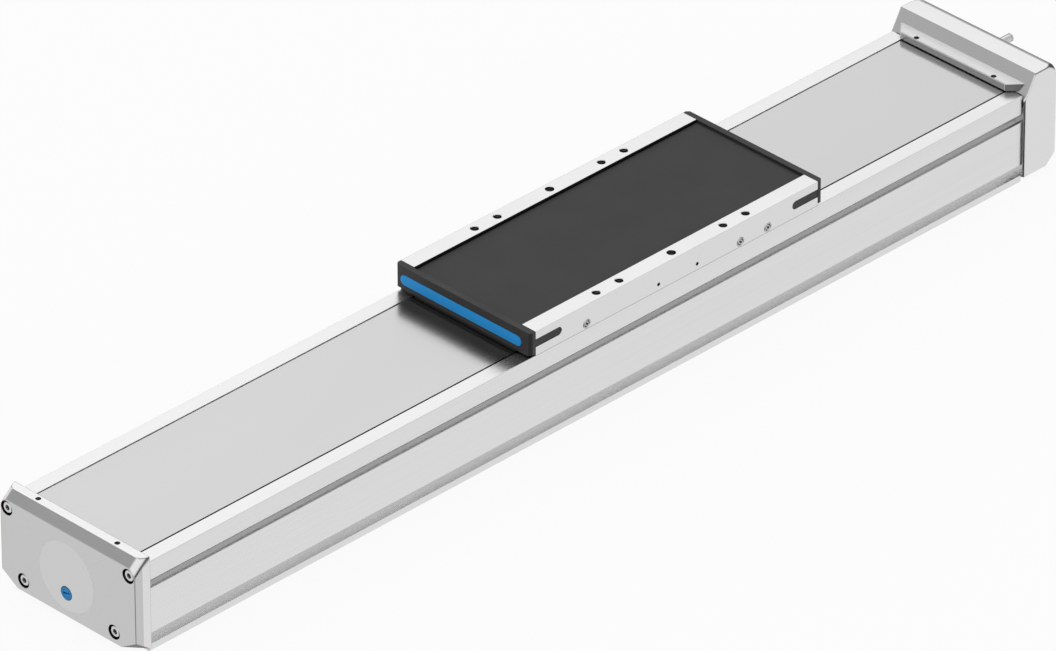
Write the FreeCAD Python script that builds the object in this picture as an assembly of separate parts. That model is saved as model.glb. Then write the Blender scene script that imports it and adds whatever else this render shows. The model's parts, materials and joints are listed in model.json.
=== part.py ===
import FreeCAD, Part
import math
import os

os.makedirs("parts", exist_ok=True)
V = FreeCAD.Vector

# All lengths are millimetres.  X runs along the axis towards the drive end,
# Z is up, and Z = 0 is the underside of the extruded profile.

# extruded profile
half_length = 516.5
profile_half_width = 77.25
profile_height = 86.1
cavity_half_width = 62.0
cavity_floor_z = 32.0
cavity_roof_z = 78.0
trough_half_width = 25.0
trough_floor_z = 12.0
band_seat_half_width = 62.5
band_seat_z = 84.6
mouth_half_width = band_seat_half_width - 12.5
magnet_inner = band_seat_half_width - 10.7
magnet_outer = band_seat_half_width - 4.3
magnet_depth = 2.1
magnet_clearance = 0.2
band_gap_width = 2.1
band_gap_depth = 3.0
slot_mouth = 8.0
slot_lip = 3.0
slot_inner = 15.0
slot_inner_depth = 6.0
side_slot_z = 64.0
bottom_slot_y = 40.0
clamp_groove_low_z = 6.5
clamp_groove_high_z = 16.9
clamp_groove_lip = 2.6
clamp_groove_depth = 7.5
clamp_groove_undercut = 2.6
corner_chamfer = 0.5

# fasteners that hold both end pieces to the profile
end_screw_places = [(72.1, 78.4), (-72.1, 78.4), (53.9, 15.9), (-53.9, 15.9)]
end_screw_core_radius = 2.6
end_screw_head_radius = 5.0
end_counterbore_radius = 6.7
end_counterbore_depth = 6.2
end_screw_head_height = 5.5
end_screw_sides = 12
end_screw_engagement = 22.0

# near end cap
cap_depth = 17.0
cap_front_half_width = 79.9
cap_back_half_width = 80.5
cap_top_z = 93.4
cap_front_top_z = 86.3
cap_slant_run = 8.1
cap_corner_radius = 6.5
ends_bottom_z = 4.9
corner_cut_across = 20.3
corner_cut_up = 12.2
disc_y = 1.8
disc_z = 43.5
disc_radius = 32.3
disc_thickness = 1.0
disc_recess = 0.8
disc_sides = 36
plug_y = 2.4
plug_z = 27.5
plug_radius = 6.5
plug_length = 6.0
near_grub_x = -half_length - 4.8
near_grub_y = 46.9
grub_radius = 2.5
band_slot_depth = 10.7
band_slot_height = 1.7

# drive housing
housing_depth = 42.0
housing_back_x = half_length + housing_depth
housing_half_width = 80.3
housing_top_z = 104.0
housing_shoulder_z = 86.3
housing_slant_low_x = half_length + 3.0
housing_slant_high_x = half_length + 13.3
housing_back_round = 10.7
housing_side_round = 5.0
housing_front_round = 2.6
housing_top_corner = 8.0
housing_top_corner_x = housing_back_x - 15.8
housing_cut_start_x = housing_back_x - 15.6
housing_cut_up = 13.1
housing_counterbore_extra = 22.0
motor_recess_radius = 30.0
motor_recess_depth = 3.0
motor_screw_half_pitch = 28.0
motor_screw_core_radius = 2.5
motor_screw_depth = 14.0

# band clamp bar
bar_front_x = half_length - 5.9
bar_front_half_length = 62.2
bar_back_half_length = 72.5
bar_bottom_z = 86.9
bar_top_z = 93.8
bar_back_x = half_length + 5.9
bar_grub_x = half_length - 2.7
bar_grub_y = 45.7
tongue_front_x = half_length + 2.5
tongue_back_x = half_length + 11.5
tongue_half_width = 40.0
tongue_bottom_z = 88.5
tongue_top_z = 91.5

# rubber end stops inside the profile
bumper_y = 32.0
bumper_z = 67.0
bumper_radius = 8.0
near_bumper_length = 28.0
far_bumper_length = 34.0
bumper_stud_radius = 2.5
bumper_stud_length = 6.0

# small round fitting behind the top of the housing
fitting_z = 84.0
fitting_radius = 3.8
fitting_shank_radius = 2.5
fitting_shank_length = 8.0
fitting_seat_radius = 4.6
fitting_seat_depth = 1.2
fitting_collar_radius = 3.7
fitting_sides = 12
fitting_end_x = housing_back_x + 25.5

# ball screw and its bearings
screw_z = 44.0
screw_radius = 10.0
screw_thread_half_length = half_length - 11.5
near_journal_radius = 6.0
near_bearing_outer_radius = 14.0
near_bearing_width = 8.0
drive_journal_radius = 7.5
fixed_bearing_outer_radius = 17.5
fixed_bearing_start_x = half_length + 4.0
fixed_bearing_width = 22.0
lock_nut_radius = 12.5
lock_nut_width = 7.0
retainer_radius = 24.0
retainer_bore_radius = 13.6
retainer_width = 7.0
drive_end_radius = 6.0
drive_end_x = housing_back_x + 29.5
round_sides = 20
near_bearing_x0 = -half_length - near_bearing_width
near_bearing_x1 = -half_length
near_inner_ring_radius = 8.4
near_outer_ring_bore = 11.6
fixed_bearing_x1 = fixed_bearing_start_x + fixed_bearing_width
fixed_inner_ring_radius = 10.9
fixed_outer_ring_bore = 14.1
cage_clearance = 0.3

# linear guides
rail_y = 38.0
rail_half_width = 10.0
rail_height = 18.0
rail_end_clearance = 6.5
rail_half_length = half_length - rail_end_clearance
rail_screw_count = 9
rail_screw_end = 30.0
rail_screw_pitch = 2 * (rail_half_length - rail_screw_end) / (rail_screw_count - 1)
rail_screw_radius = 2.6
rail_screw_head_radius = 4.6
block_half_width = 22.0
block_low_z = 36.5
block_top_z = 62.0
block_half_length = 31.0
block_seal_thickness = 3.0
block_screw_x = 18.0
block_screw_y = 16.0
guide_clearance = 0.3

# hidden screws of the slide
hidden_screw_radius = 2.5
hidden_screw_head_radius = 4.6

# slide, about its own centre
slide_x = 92.5
slide_half_length = 168.5
slide_half_width = 80.0
slide_bottom_z = 87.9
slide_top_z = 112.0
slide_rail_inner = 63.6
web_half_length = slide_half_length - 50.5
web_top_z = 97.0
core_half_width = mouth_half_width - 3.0
foot_half_width = cavity_half_width - 2.0
foot_half_length = slide_half_length - 18.5
foot_top_z = 70.0
block_centre_share = 0.4748
block_centre_x = block_centre_share * slide_half_length
pocket_margin = 5.0
top_hole_y = 72.0
top_hole_x = [-89.0, -62.0, 62.0, 89.0]
top_hole_radius = 3.4
top_hole_depth = 17.0
dowel_radius = 4.0
dowel_depth = 10.0
nipple_x = [-108.0, 75.0, 108.0]
nipple_z = 93.0
nipple_radius = 4.2
side_hole_x = [-23.0, 23.0]
side_hole_z = 94.1
side_hole_radius = 1.7
tongue_length = 30.7
tongue_low_z = 96.7
tongue_high_z = 104.2
tongue_depth = 5.0

# slide cover and end caps
cover_half_width = 63.4
cover_top_z = 109.3
cover_thickness = 3.0
cover_low_z = 101.5
slide_cap_thickness = 6.0
slide_cap_low_z = 90.0
slide_cap_chamfer = 2.6
cap_lip_half_width = 75.0
cap_lip_low_z = slide_bottom_z - 0.3
wiper_thickness = 3.0
wiper_low_z = 86.6
wiper_top_z = 92.0
wiper_gap = 0.15
cover_ledge_half_length = web_half_length - 8.0
cover_ledge_width = 2.4
blue_y = 2.4
blue_half_length = 71.5
blue_z = 99.2
blue_half_height = 4.9
blue_thickness = 2.0

# ball nut and its bracket
nut_radius = 18.0
nut_length = 46.0
nut_flange_radius = 27.0
nut_flange_half_height = 17.2
nut_flange_thickness = 10.0
nut_bore_radius = 10.05
bracket_half_length = 20.0
bracket_half_width = 24.0
bracket_low_z = 22.0
bracket_screw_x = 13.0
bracket_screw_ys = [-12.0, 12.0]
nut_screw_circle = 22.0

# steel cover band
band_half_width = band_seat_half_width - 2.25
band_thickness = 0.8
band_bottom_z = 84.7
band_lift = 14.0
band_ramp_start = slide_half_length - 3.5
band_ramp_length = 45.0
band_near_end_x = -half_length - 10.5
shoe_low_z = band_bottom_z + 2.0
shoe_clearance = 0.5
shoe_half_width = band_half_width - 3.25
wiper_half_width = band_half_width + 0.55
shoe_screw_z = 92.5


def box(x0, x1, y0, y1, z0, z1):
    return Part.makeBox(x1 - x0, y1 - y0, z1 - z0, V(x0, y0, z0))


def rod_x(x0, x1, y, z, radius):
    return Part.makeCylinder(radius, x1 - x0, V(x0, y, z), V(1, 0, 0))


def rod_z(x, y, z0, z1, radius):
    return Part.makeCylinder(radius, z1 - z0, V(x, y, z0), V(0, 0, 1))


def face(points):
    return Part.Face(Part.makePolygon(points + [points[0]]))


def prism(start, axis, length, radius, sides=6):
    """Many-sided rod for hidden screws and their holes; radius is to its corners."""
    upright = V(1, 0, 0) if abs(axis.z) > 0.5 else V(0, 0, 1)
    across = axis.cross(upright)
    points = []
    for i in range(sides):
        a = 2 * math.pi * (i + 0.5) / sides
        points.append(start + upright * (radius * math.cos(a)) + across * (radius * math.sin(a)))
    return face(points).extrude(axis * length)


def prism_x(x0, x1, y, z, radius, sides=6):
    return prism(V(x0, y, z), V(1, 0, 0), x1 - x0, radius, sides)


def prism_z(x, y, z0, z1, radius, sides=6):
    return prism(V(x, y, z0), V(0, 0, 1), z1 - z0, radius, sides)


def prism_y(x, y0, y1, z, radius, sides=12):
    """Many-sided rod whose flats lie at the given radius."""
    corner = radius / math.cos(math.pi / sides)
    return prism(V(x, y0, z), V(0, 1, 0), y1 - y0, corner, sides)


def arc_points(centre_a, centre_b, radius, start, stop, steps):
    """Points on an arc in a plane; angles in degrees from the first axis."""
    points = []
    for i in range(steps + 1):
        a = math.radians(start + (stop - start) * i / steps)
        points.append((centre_a + radius * math.cos(a), centre_b + radius * math.sin(a)))
    return points


def run_x(section, x0, x1):
    """Section points are (y, z)."""
    return face([V(x0, y, z) for y, z in section]).extrude(V(x1 - x0, 0, 0))


def run_y(section, y0, y1):
    """Section points are (x, z)."""
    return face([V(x, y0, z) for x, z in section]).extrude(V(0, y1 - y0, 0))


def run_z(section, z0, z1):
    """Section points are (x, y)."""
    return face([V(x, y, z0) for x, y in section]).extrude(V(0, 0, z1 - z0))


def mirror_y(shape):
    return shape.mirror(V(0, 0, 0), V(0, 1, 0))


def mirror_slide(shape):
    """Mirror about the slide's middle, near end to far end."""
    return shape.mirror(V(slide_x, 0, 0), V(1, 0, 0))


def both_sides(shape):
    return [shape, mirror_y(shape)]


def solids_of(shapes):
    found = []
    for shape in shapes:
        found += shape.Solids
    return Part.makeCompound(found)


def save(name, shape):
    shape.exportStep("parts/%s.step" % name)


# Extruded profile

def t_slot_side():
    outer = profile_half_width
    mouth = box(-half_length, half_length, outer - slot_lip, outer + 1,
                side_slot_z - slot_mouth / 2, side_slot_z + slot_mouth / 2)
    inner_y = outer - slot_lip - slot_inner_depth
    low = side_slot_z - slot_inner / 2
    high = side_slot_z + slot_inner / 2
    section = [(outer - slot_lip, low), (outer - slot_lip, high), (inner_y + 3, high),
               (inner_y, high - 3), (inner_y, low + 3), (inner_y + 3, low)]
    return mouth.fuse(run_x(section, -half_length, half_length))


def t_slot_bottom():
    mouth = box(-half_length, half_length, bottom_slot_y - slot_mouth / 2,
                bottom_slot_y + slot_mouth / 2, -1, slot_lip)
    left = bottom_slot_y - slot_inner / 2
    right = bottom_slot_y + slot_inner / 2
    deep = slot_lip + slot_inner_depth
    section = [(left, slot_lip), (right, slot_lip), (right, deep - 3), (right - 3, deep),
               (left + 3, deep), (left, deep - 3)]
    return mouth.fuse(run_x(section, -half_length, half_length))


def clamp_groove():
    outer = profile_half_width
    top = clamp_groove_high_z
    section = [(outer + 1, clamp_groove_low_z), (outer + 1, top), (outer - clamp_groove_lip, top),
               (outer - clamp_groove_lip - 1.5, top + clamp_groove_undercut),
               (outer - clamp_groove_depth, top + clamp_groove_undercut),
               (outer - clamp_groove_depth, clamp_groove_low_z)]
    return run_x(section, -half_length, half_length)


def magnet_groove():
    return box(-half_length, half_length, magnet_inner, magnet_outer, band_seat_z - magnet_depth, band_seat_z + 1)


def band_gap():
    inner = band_seat_half_width - band_gap_width
    low = band_seat_z - band_gap_depth
    return box(-half_length, half_length, inner, band_seat_half_width, low, profile_height)


def make_profile():
    w = profile_half_width
    h = profile_height
    c = corner_chamfer
    outline = [(-w + c, 0), (w - c, 0), (w, c), (w, h - c), (w - c, h), (-w + c, h), (-w, h - c), (-w, c)]
    body = run_x(outline, -half_length, half_length)
    cuts = [
        box(-half_length, half_length, -cavity_half_width, cavity_half_width, cavity_floor_z, cavity_roof_z),
        box(-half_length, half_length, -trough_half_width, trough_half_width, trough_floor_z, cavity_floor_z),
        box(-half_length, half_length, -mouth_half_width, mouth_half_width, cavity_roof_z, h + 1),
        box(-half_length, half_length, -band_seat_half_width, band_seat_half_width, band_seat_z, h + 1),
    ]
    for half in [t_slot_side(), t_slot_bottom(), clamp_groove(), magnet_groove(), band_gap()]:
        cuts += both_sides(half)
    for y, z in end_screw_places:
        for x0 in [-half_length, half_length - end_screw_engagement - 2]:
            cuts.append(prism_x(x0, x0 + end_screw_engagement + 2, y, z, end_screw_core_radius))
    for x in rail_screw_xs():
        for y in [-rail_y, rail_y]:
            cuts.append(prism_z(x, y, cavity_floor_z - 12, cavity_floor_z, rail_screw_radius))
    return body.cut(cuts).removeSplitter()


def make_magnet_strip():
    end = half_length - 0.5
    low = band_seat_z - magnet_depth
    return box(-end, end, magnet_inner + magnet_clearance, magnet_outer - magnet_clearance, low, band_seat_z - 0.1)


# Linear guides

def rail_screw_xs():
    first = -rail_screw_pitch * (rail_screw_count - 1) / 2
    return [first + rail_screw_pitch * i for i in range(rail_screw_count)]


def rail_section(grow):
    w = rail_half_width + grow
    top = cavity_floor_z + rail_height + grow
    low = cavity_floor_z
    return [(-w, low), (w, low), (w, low + 7 - grow), (w - 2, low + 9), (w - 2, low + 12),
            (w, low + 14 + grow), (w, top - 1), (w - 1, top), (-w + 1, top), (-w, top - 1),
            (-w, low + 14 + grow), (-w + 2, low + 12), (-w + 2, low + 9), (-w, low + 7 - grow)]


def make_rail(y):
    rail = run_x(rail_section(0), -rail_half_length, rail_half_length)
    rail.translate(V(0, y, 0))
    top = cavity_floor_z + rail_height
    cuts = []
    for x in rail_screw_xs():
        cuts.append(prism_z(x, y, cavity_floor_z - 1, top, rail_screw_radius + 0.6))
        cuts.append(prism_z(x, y, top - 8.5, top + 1, rail_screw_head_radius + 0.5))
    return rail.cut(cuts)


def make_rail_screws():
    top = cavity_floor_z + rail_height - 8.5
    shapes = []
    for x in rail_screw_xs():
        for y in [-rail_y, rail_y]:
            shank = prism_z(x, y, cavity_floor_z - 10, top, rail_screw_radius)
            shapes.append(shank.fuse(prism_z(x, y, top, top + 5, rail_screw_head_radius)))
    return solids_of(shapes)


def block_outline():
    w = block_half_width
    low = block_low_z
    top = block_top_z
    inner = rail_half_width + guide_clearance
    roof = cavity_floor_z + rail_height + guide_clearance
    ridge = inner - 2
    return [(inner, low), (w - 1.5, low), (w, low + 1.5), (w, top - 6), (w - 0.8, top - 5),
            (w - 0.8, top), (-w + 0.8, top), (-w + 0.8, top - 5), (-w, top - 6), (-w, low + 1.5),
            (-w + 1.5, low), (-inner, low), (-inner, 38.7), (-ridge, 40.9), (-ridge, 44.1),
            (-inner, 46.3), (-inner, roof), (inner, roof), (inner, 46.3), (ridge, 44.1),
            (ridge, 40.9), (inner, 38.7)]


def block_xs():
    return [slide_x - block_centre_x, slide_x + block_centre_x]


def make_block(x, y):
    block = run_x(block_outline(), x - block_half_length, x + block_half_length)
    block.translate(V(0, y, 0))
    cuts = []
    for dx in [-block_screw_x, block_screw_x]:
        for dy in [-block_screw_y, block_screw_y]:
            cuts.append(prism_z(x + dx, y + dy, block_top_z - 8, block_top_z + 1, hidden_screw_radius))
    return block.cut(cuts)


def seal_outline():
    w = block_half_width - 0.8
    low = block_low_z
    top = block_top_z - 0.6
    inner = rail_half_width + guide_clearance
    roof = cavity_floor_z + rail_height + guide_clearance
    return [(inner, low), (w, low), (w, top), (-w, top), (-w, low), (-inner, low), (-inner, roof), (inner, roof)]


def make_block_seals():
    shapes = []
    for x in block_xs():
        for y in [-rail_y, rail_y]:
            for x0 in [x - block_half_length - block_seal_thickness, x + block_half_length]:
                plate = run_x(seal_outline(), x0, x0 + block_seal_thickness)
                plate.translate(V(0, y, 0))
                shapes.append(plate)
    return solids_of(shapes)


def make_block_screws():
    shapes = []
    for x in block_xs():
        for y in [-rail_y, rail_y]:
            for dx in [-block_screw_x, block_screw_x]:
                for dy in [-block_screw_y, block_screw_y]:
                    shank = prism_z(x + dx, y + dy, block_top_z - 7, foot_top_z, hidden_screw_radius)
                    head = prism_z(x + dx, y + dy, foot_top_z, foot_top_z + 5, hidden_screw_head_radius)
                    shapes.append(shank.fuse(head))
    return solids_of(shapes)


# Near end cap

def rounded_outline(x, half_width, top, radius):
    """Points of an end's outline, with rounded upper corners."""
    w = half_width
    points = [(w, ends_bottom_z)]
    points += arc_points(w - radius, top - radius, radius, 0, 90, 4)
    points += arc_points(radius - w, top - radius, radius, 90, 180, 4)
    points.append((-w, ends_bottom_z))
    return [V(x, y, z) for y, z in points]


def joined_outlines(front, back):
    """Solid between two outlines that have the same number of points."""
    faces = [face(front), face(back)]
    count = len(front)
    for i in range(count):
        j = (i + 1) % count
        if abs(front[i].y - front[j].y) < 0.01 or abs(front[i].z - front[j].z) < 0.01:
            faces.append(face([front[i], front[j], back[j], back[i]]))
        else:
            faces.append(face([front[i], front[j], back[j]]))
            faces.append(face([front[i], back[j], back[i]]))
    return Part.makeSolid(Part.makeShell(faces))


def corner_cut(full_x, nothing_x, up):
    """Oblique cut of a lower corner: full size at one end of its run, nothing at the other."""
    w = 80.6
    low = ends_bottom_z
    reach = 0.6
    points = [V(full_x, w + reach, low - reach), V(full_x, w - corner_cut_across, low - reach),
              V(full_x, w + reach, low + up), V(nothing_x, w + reach, low - reach)]
    faces = []
    for i, j, k in [(0, 1, 2), (0, 1, 3), (0, 2, 3), (1, 2, 3)]:
        faces.append(face([points[i], points[j], points[k]]))
    return Part.makeSolid(Part.makeShell(faces))


def cap_block():
    """Cap with its slanted upper face, which rolls round into both sides."""
    front = -half_length - cap_depth
    ridge = front + cap_slant_run
    w = cap_back_half_width
    side = [(front, ends_bottom_z), (front, cap_front_top_z), (ridge, cap_top_z),
            (-half_length, cap_top_z), (-half_length, ends_bottom_z)]
    block = run_y(side, -w, w)
    slant_ends = []
    for edge in block.Edges:
        middle = edge.CenterOfMass
        if abs(middle.y) > w - 0.1 and middle.x < ridge - 1 and middle.z > cap_front_top_z + 1:
            slant_ends.append(edge)
    block = block.makeFillet(cap_corner_radius, slant_ends)
    narrow = w - cap_front_half_width
    wedge = run_z([(front - 1, w + 1), (front - 1, w - narrow * (cap_slant_run + 1) / cap_slant_run),
                   (ridge, w), (ridge, w + 1)], ends_bottom_z - 1, cap_top_z + 1)
    return block.cut(both_sides(wedge))


def make_near_cap():
    front = -half_length - cap_depth
    cuts = both_sides(corner_cut(front - 0.01, -half_length, corner_cut_up))
    for y, z in end_screw_places:
        cuts.append(prism_x(front - 1, front + end_counterbore_depth, y, z, end_counterbore_radius, 16))
        cuts.append(prism_x(front, -half_length + 1, y, z, end_screw_core_radius + 0.6))
    pocket = -half_length - near_bearing_width
    cuts.append(prism_x(pocket, -half_length + 1, 0, screw_z, near_bearing_outer_radius, round_sides))
    cuts.append(prism_x(pocket - 3, pocket, 0, screw_z, near_journal_radius + 3, round_sides))
    cuts.append(prism_x(front - 1, front + disc_recess, disc_y, disc_z, disc_radius + 0.1, disc_sides))
    cuts.append(prism_x(front, front + plug_length, plug_y, plug_z, plug_radius, round_sides))
    cuts.append(prism_x(front, -half_length + 1, plug_y, plug_z - 4, 1.6))
    cuts.append(box(-half_length - band_slot_depth, -half_length + 1, -band_half_width - 0.35,
                    band_half_width + 0.35, band_bottom_z, band_bottom_z + band_slot_height))
    for y in [-near_grub_y, near_grub_y]:
        cuts.append(prism_z(near_grub_x, y, band_bottom_z + 1, cap_top_z + 1, grub_radius, 12))
    for y in [-bumper_y, bumper_y]:
        cuts.append(prism_x(-half_length - bumper_stud_length, -half_length, y, bumper_z, bumper_stud_radius))
    return cap_block().cut(cuts)


def end_screw(x_head, direction, y, z, reach):
    """Cap screw; x_head is the head's outer face."""
    axis = V(direction, 0, 0)
    height = end_screw_head_height
    head = prism(V(x_head, y, z), axis, height, end_screw_head_radius, end_screw_sides)
    shank = prism(V(x_head + height * direction, y, z), axis, reach, end_screw_core_radius)
    return head.fuse(shank)


def make_near_screws():
    head_x = -half_length - cap_depth + end_counterbore_depth - end_screw_head_height
    reach = cap_depth - end_counterbore_depth + end_screw_engagement
    return solids_of([end_screw(head_x, 1, y, z, reach) for y, z in end_screw_places])


def make_disc():
    front = -half_length - cap_depth
    disc = prism_x(front - disc_thickness + disc_recess, front + disc_recess, disc_y, disc_z,
                   disc_radius, disc_sides)
    return disc.cut(prism_x(front - 2, front + 2, plug_y, plug_z, plug_radius + 0.1, round_sides))


def make_plug():
    front = -half_length - cap_depth
    plug = prism_x(front - 0.2, front + plug_length - 0.2, plug_y, plug_z, plug_radius, round_sides)
    reach = plug_radius + 1
    slot = box(front - 1, front + 1.8, plug_y - reach, plug_y + reach, plug_z - 0.8, plug_z + 0.8)
    slot.rotate(V(front, plug_y, plug_z), V(1, 0, 0), 35)
    return plug.cut(slot)


def make_near_grubs():
    bottom = band_bottom_z + band_thickness
    return solids_of([prism_z(near_grub_x, y, bottom, bottom + 6.5, grub_radius, 12)
                      for y in [-near_grub_y, near_grub_y]])


# End stops

def make_bumpers(x_wall, direction, length):
    shapes = []
    for y in [-bumper_y, bumper_y]:
        pad = prism(V(x_wall, y, bumper_z), V(direction, 0, 0), length, bumper_radius, 16)
        stud = prism(V(x_wall, y, bumper_z), V(-direction, 0, 0), bumper_stud_length, bumper_stud_radius)
        shapes.append(pad.fuse(stud))
    return solids_of(shapes)


# Drive housing

def housing_seat_x():
    """Where the heads of the housing screws rest."""
    return housing_back_x - end_counterbore_depth - housing_counterbore_extra


def bar_tongue():
    return box(tongue_front_x, tongue_back_x, -tongue_half_width, tongue_half_width,
               tongue_bottom_z, tongue_top_z)


def housing_block():
    """Housing's outer form: slanted front, rounded rear, and upper rear corners that roll off."""
    x0 = half_length
    back = housing_back_x
    top = housing_top_z
    w = housing_half_width
    r = housing_back_round
    side = housing_side_round
    edge = housing_front_round
    side_view = [(x0, ends_bottom_z), (back, ends_bottom_z)]
    side_view += arc_points(back - r, top - r, r, 0, 90, 6)
    side_view += [(housing_slant_high_x, top), (housing_slant_low_x, housing_shoulder_z),
                  (x0, housing_shoulder_z)]
    plan = arc_points(x0 + edge, -w + edge, edge, 180, 270, 3)
    plan += arc_points(back - side, -w + side, side, -90, 0, 5)
    plan += arc_points(back - side, w - side, side, 0, 90, 5)
    plan += arc_points(x0 + edge, w - edge, edge, 90, 180, 3)
    block = run_y(side_view, -w, w).common(run_z(plan, ends_bottom_z - 1, top + 1))
    roll = joined_outlines(rounded_outline(housing_top_corner_x, w, top, 0.3),
                           rounded_outline(back, w, top, housing_top_corner))
    front = block.common(box(x0, housing_top_corner_x, -w, w, ends_bottom_z, top))
    return front.fuse(block.common(roll)).removeSplitter()


def make_housing():
    x0 = half_length
    back = housing_back_x
    cuts = both_sides(corner_cut(back + 0.01, housing_cut_start_x, housing_cut_up))
    for y, z in end_screw_places:
        cuts.append(prism_x(housing_seat_x(), back + 1, y, z, end_counterbore_radius, end_screw_sides))
        cuts.append(prism_x(x0 - 1, back, y, z, end_screw_core_radius + 0.6))
    race_end = fixed_bearing_start_x + fixed_bearing_width
    cuts.append(prism_x(x0 - 1, back, 0, screw_z, retainer_bore_radius, round_sides))
    cuts.append(prism_x(fixed_bearing_start_x, back, 0, screw_z, fixed_bearing_outer_radius, round_sides))
    cuts.append(prism_x(race_end, back, 0, screw_z, retainer_radius, round_sides))
    cuts.append(prism_x(back - motor_recess_depth, back + 1, 0, screw_z, motor_recess_radius, disc_sides))
    for y in [-motor_screw_half_pitch, motor_screw_half_pitch]:
        for z in [screw_z - motor_screw_half_pitch, screw_z + motor_screw_half_pitch]:
            cuts.append(rod_x(back - motor_screw_depth, back + 1, y, z, motor_screw_core_radius))
    cuts.append(bar_tongue())
    cuts.append(prism_x(back - fitting_shank_length, back + 1, 0, fitting_z, fitting_shank_radius))
    cuts.append(prism_x(back - fitting_seat_depth, back + 1, 0, fitting_z, fitting_seat_radius, fitting_sides))
    for y in [-bumper_y, bumper_y]:
        cuts.append(prism_x(half_length, half_length + bumper_stud_length, y, bumper_z, bumper_stud_radius))
    return housing_block().cut(cuts)


def make_housing_screws():
    head_x = housing_seat_x() + end_screw_head_height
    reach = housing_seat_x() - half_length + end_screw_engagement
    return solids_of([end_screw(head_x, -1, y, z, reach) for y, z in end_screw_places])


def make_clamp_bar():
    slope = (housing_slant_high_x - housing_slant_low_x) / (housing_top_z - housing_shoulder_z)
    back_low = housing_slant_low_x + slope * (bar_bottom_z - housing_shoulder_z)
    back_high = housing_slant_low_x + slope * (bar_top_z - housing_shoulder_z)
    side = [(bar_front_x, bar_bottom_z + 0.6), (bar_front_x + 0.6, bar_bottom_z), (back_low, bar_bottom_z),
            (back_high, bar_top_z), (bar_front_x + 0.9, bar_top_z), (bar_front_x, bar_top_z - 0.9)]
    bar = run_y(side, -bar_back_half_length, bar_back_half_length)
    lean = bar_back_half_length - bar_front_half_length
    depth = bar_back_x - bar_front_x
    beyond = bar_back_x + 8
    corner = run_z([(bar_front_x - 1, bar_front_half_length - lean / depth), (bar_front_x - 1, bar_back_half_length + 8),
                    (beyond, bar_back_half_length + 8),
                    (beyond, bar_front_half_length + lean / depth * (beyond - bar_front_x))],
                   bar_bottom_z - 5, bar_top_z + 5)
    cuts = both_sides(corner)
    for y in [-bar_grub_y, bar_grub_y]:
        cuts.append(prism_z(bar_grub_x, y, bar_bottom_z - 5, bar_top_z + 5, grub_radius, 12))
    return bar.cut(cuts).fuse(bar_tongue()).removeSplitter()


def make_bar_grubs():
    bottom = band_bottom_z + band_thickness
    return solids_of([prism_z(bar_grub_x, y, bottom, bottom + 7, grub_radius, 12)
                      for y in [-bar_grub_y, bar_grub_y]])


def make_fitting():
    back = housing_back_x
    seat = back - fitting_seat_depth
    shank = prism_x(back - fitting_shank_length, seat, 0, fitting_z, fitting_shank_radius)
    collar = prism_x(seat, back, 0, fitting_z, fitting_collar_radius, fitting_sides)
    return shank.fuse([collar, rod_x(back, fitting_end_x, 0, fitting_z, fitting_radius)])


# Bearings and ball screw

def ring(x0, x1, outer, inner):
    body = prism_x(x0, x1, 0, screw_z, outer, round_sides)
    return body.cut(prism_x(x0 - 1, x1 + 1, 0, screw_z, inner, round_sides))


def make_cage(x0, x1, outer, inner):
    """Balls and cage as one ring, pressed to the outer ring, free of the inner one."""
    return ring(x0 + 1, x1 - 1, outer, inner + cage_clearance)


def make_ball_screw():
    near_end = near_bearing_x0 - 1.5
    nut_end = fixed_bearing_x1 + lock_nut_width + 1
    collar_x = -half_length + 1.0
    shaft = prism_x(near_end, collar_x, 0, screw_z, near_journal_radius, round_sides)
    collar = prism_x(collar_x, -screw_thread_half_length, 0, screw_z, near_journal_radius + 1.5, round_sides)
    thread = rod_x(-screw_thread_half_length, screw_thread_half_length, 0, screw_z, screw_radius)
    neck = prism_x(screw_thread_half_length, fixed_bearing_start_x, 0, screw_z, screw_radius - 0.5, round_sides)
    seat = prism_x(fixed_bearing_start_x, nut_end, 0, screw_z, drive_journal_radius, round_sides)
    end = rod_x(nut_end, drive_end_x, 0, screw_z, drive_end_radius)
    return shaft.fuse([collar, thread, neck, seat, end]).removeSplitter()


def make_lock_nut():
    x1 = fixed_bearing_x1 + lock_nut_width
    nut = prism_x(fixed_bearing_x1, x1, 0, screw_z, lock_nut_radius, 12)
    return nut.cut(prism_x(fixed_bearing_x1 - 1, x1 + 1, 0, screw_z, drive_journal_radius, round_sides))


def make_retainer():
    x1 = fixed_bearing_x1 + retainer_width
    body = prism_x(fixed_bearing_x1, x1, 0, screw_z, retainer_radius, round_sides)
    return body.cut(prism_x(fixed_bearing_x1 - 1, x1 + 1, 0, screw_z, retainer_bore_radius, round_sides))


# Slide

def slide_local(x):
    return slide_x + x


def head_pocket(x, y, reach_x, reach_y):
    """Open pocket for screw heads, from the foot up through the web."""
    dx = reach_x + pocket_margin
    dy = reach_y + pocket_margin
    return box(x - dx, x + dx, y - dy, y + dy, foot_top_z, web_top_z + 1)


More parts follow.
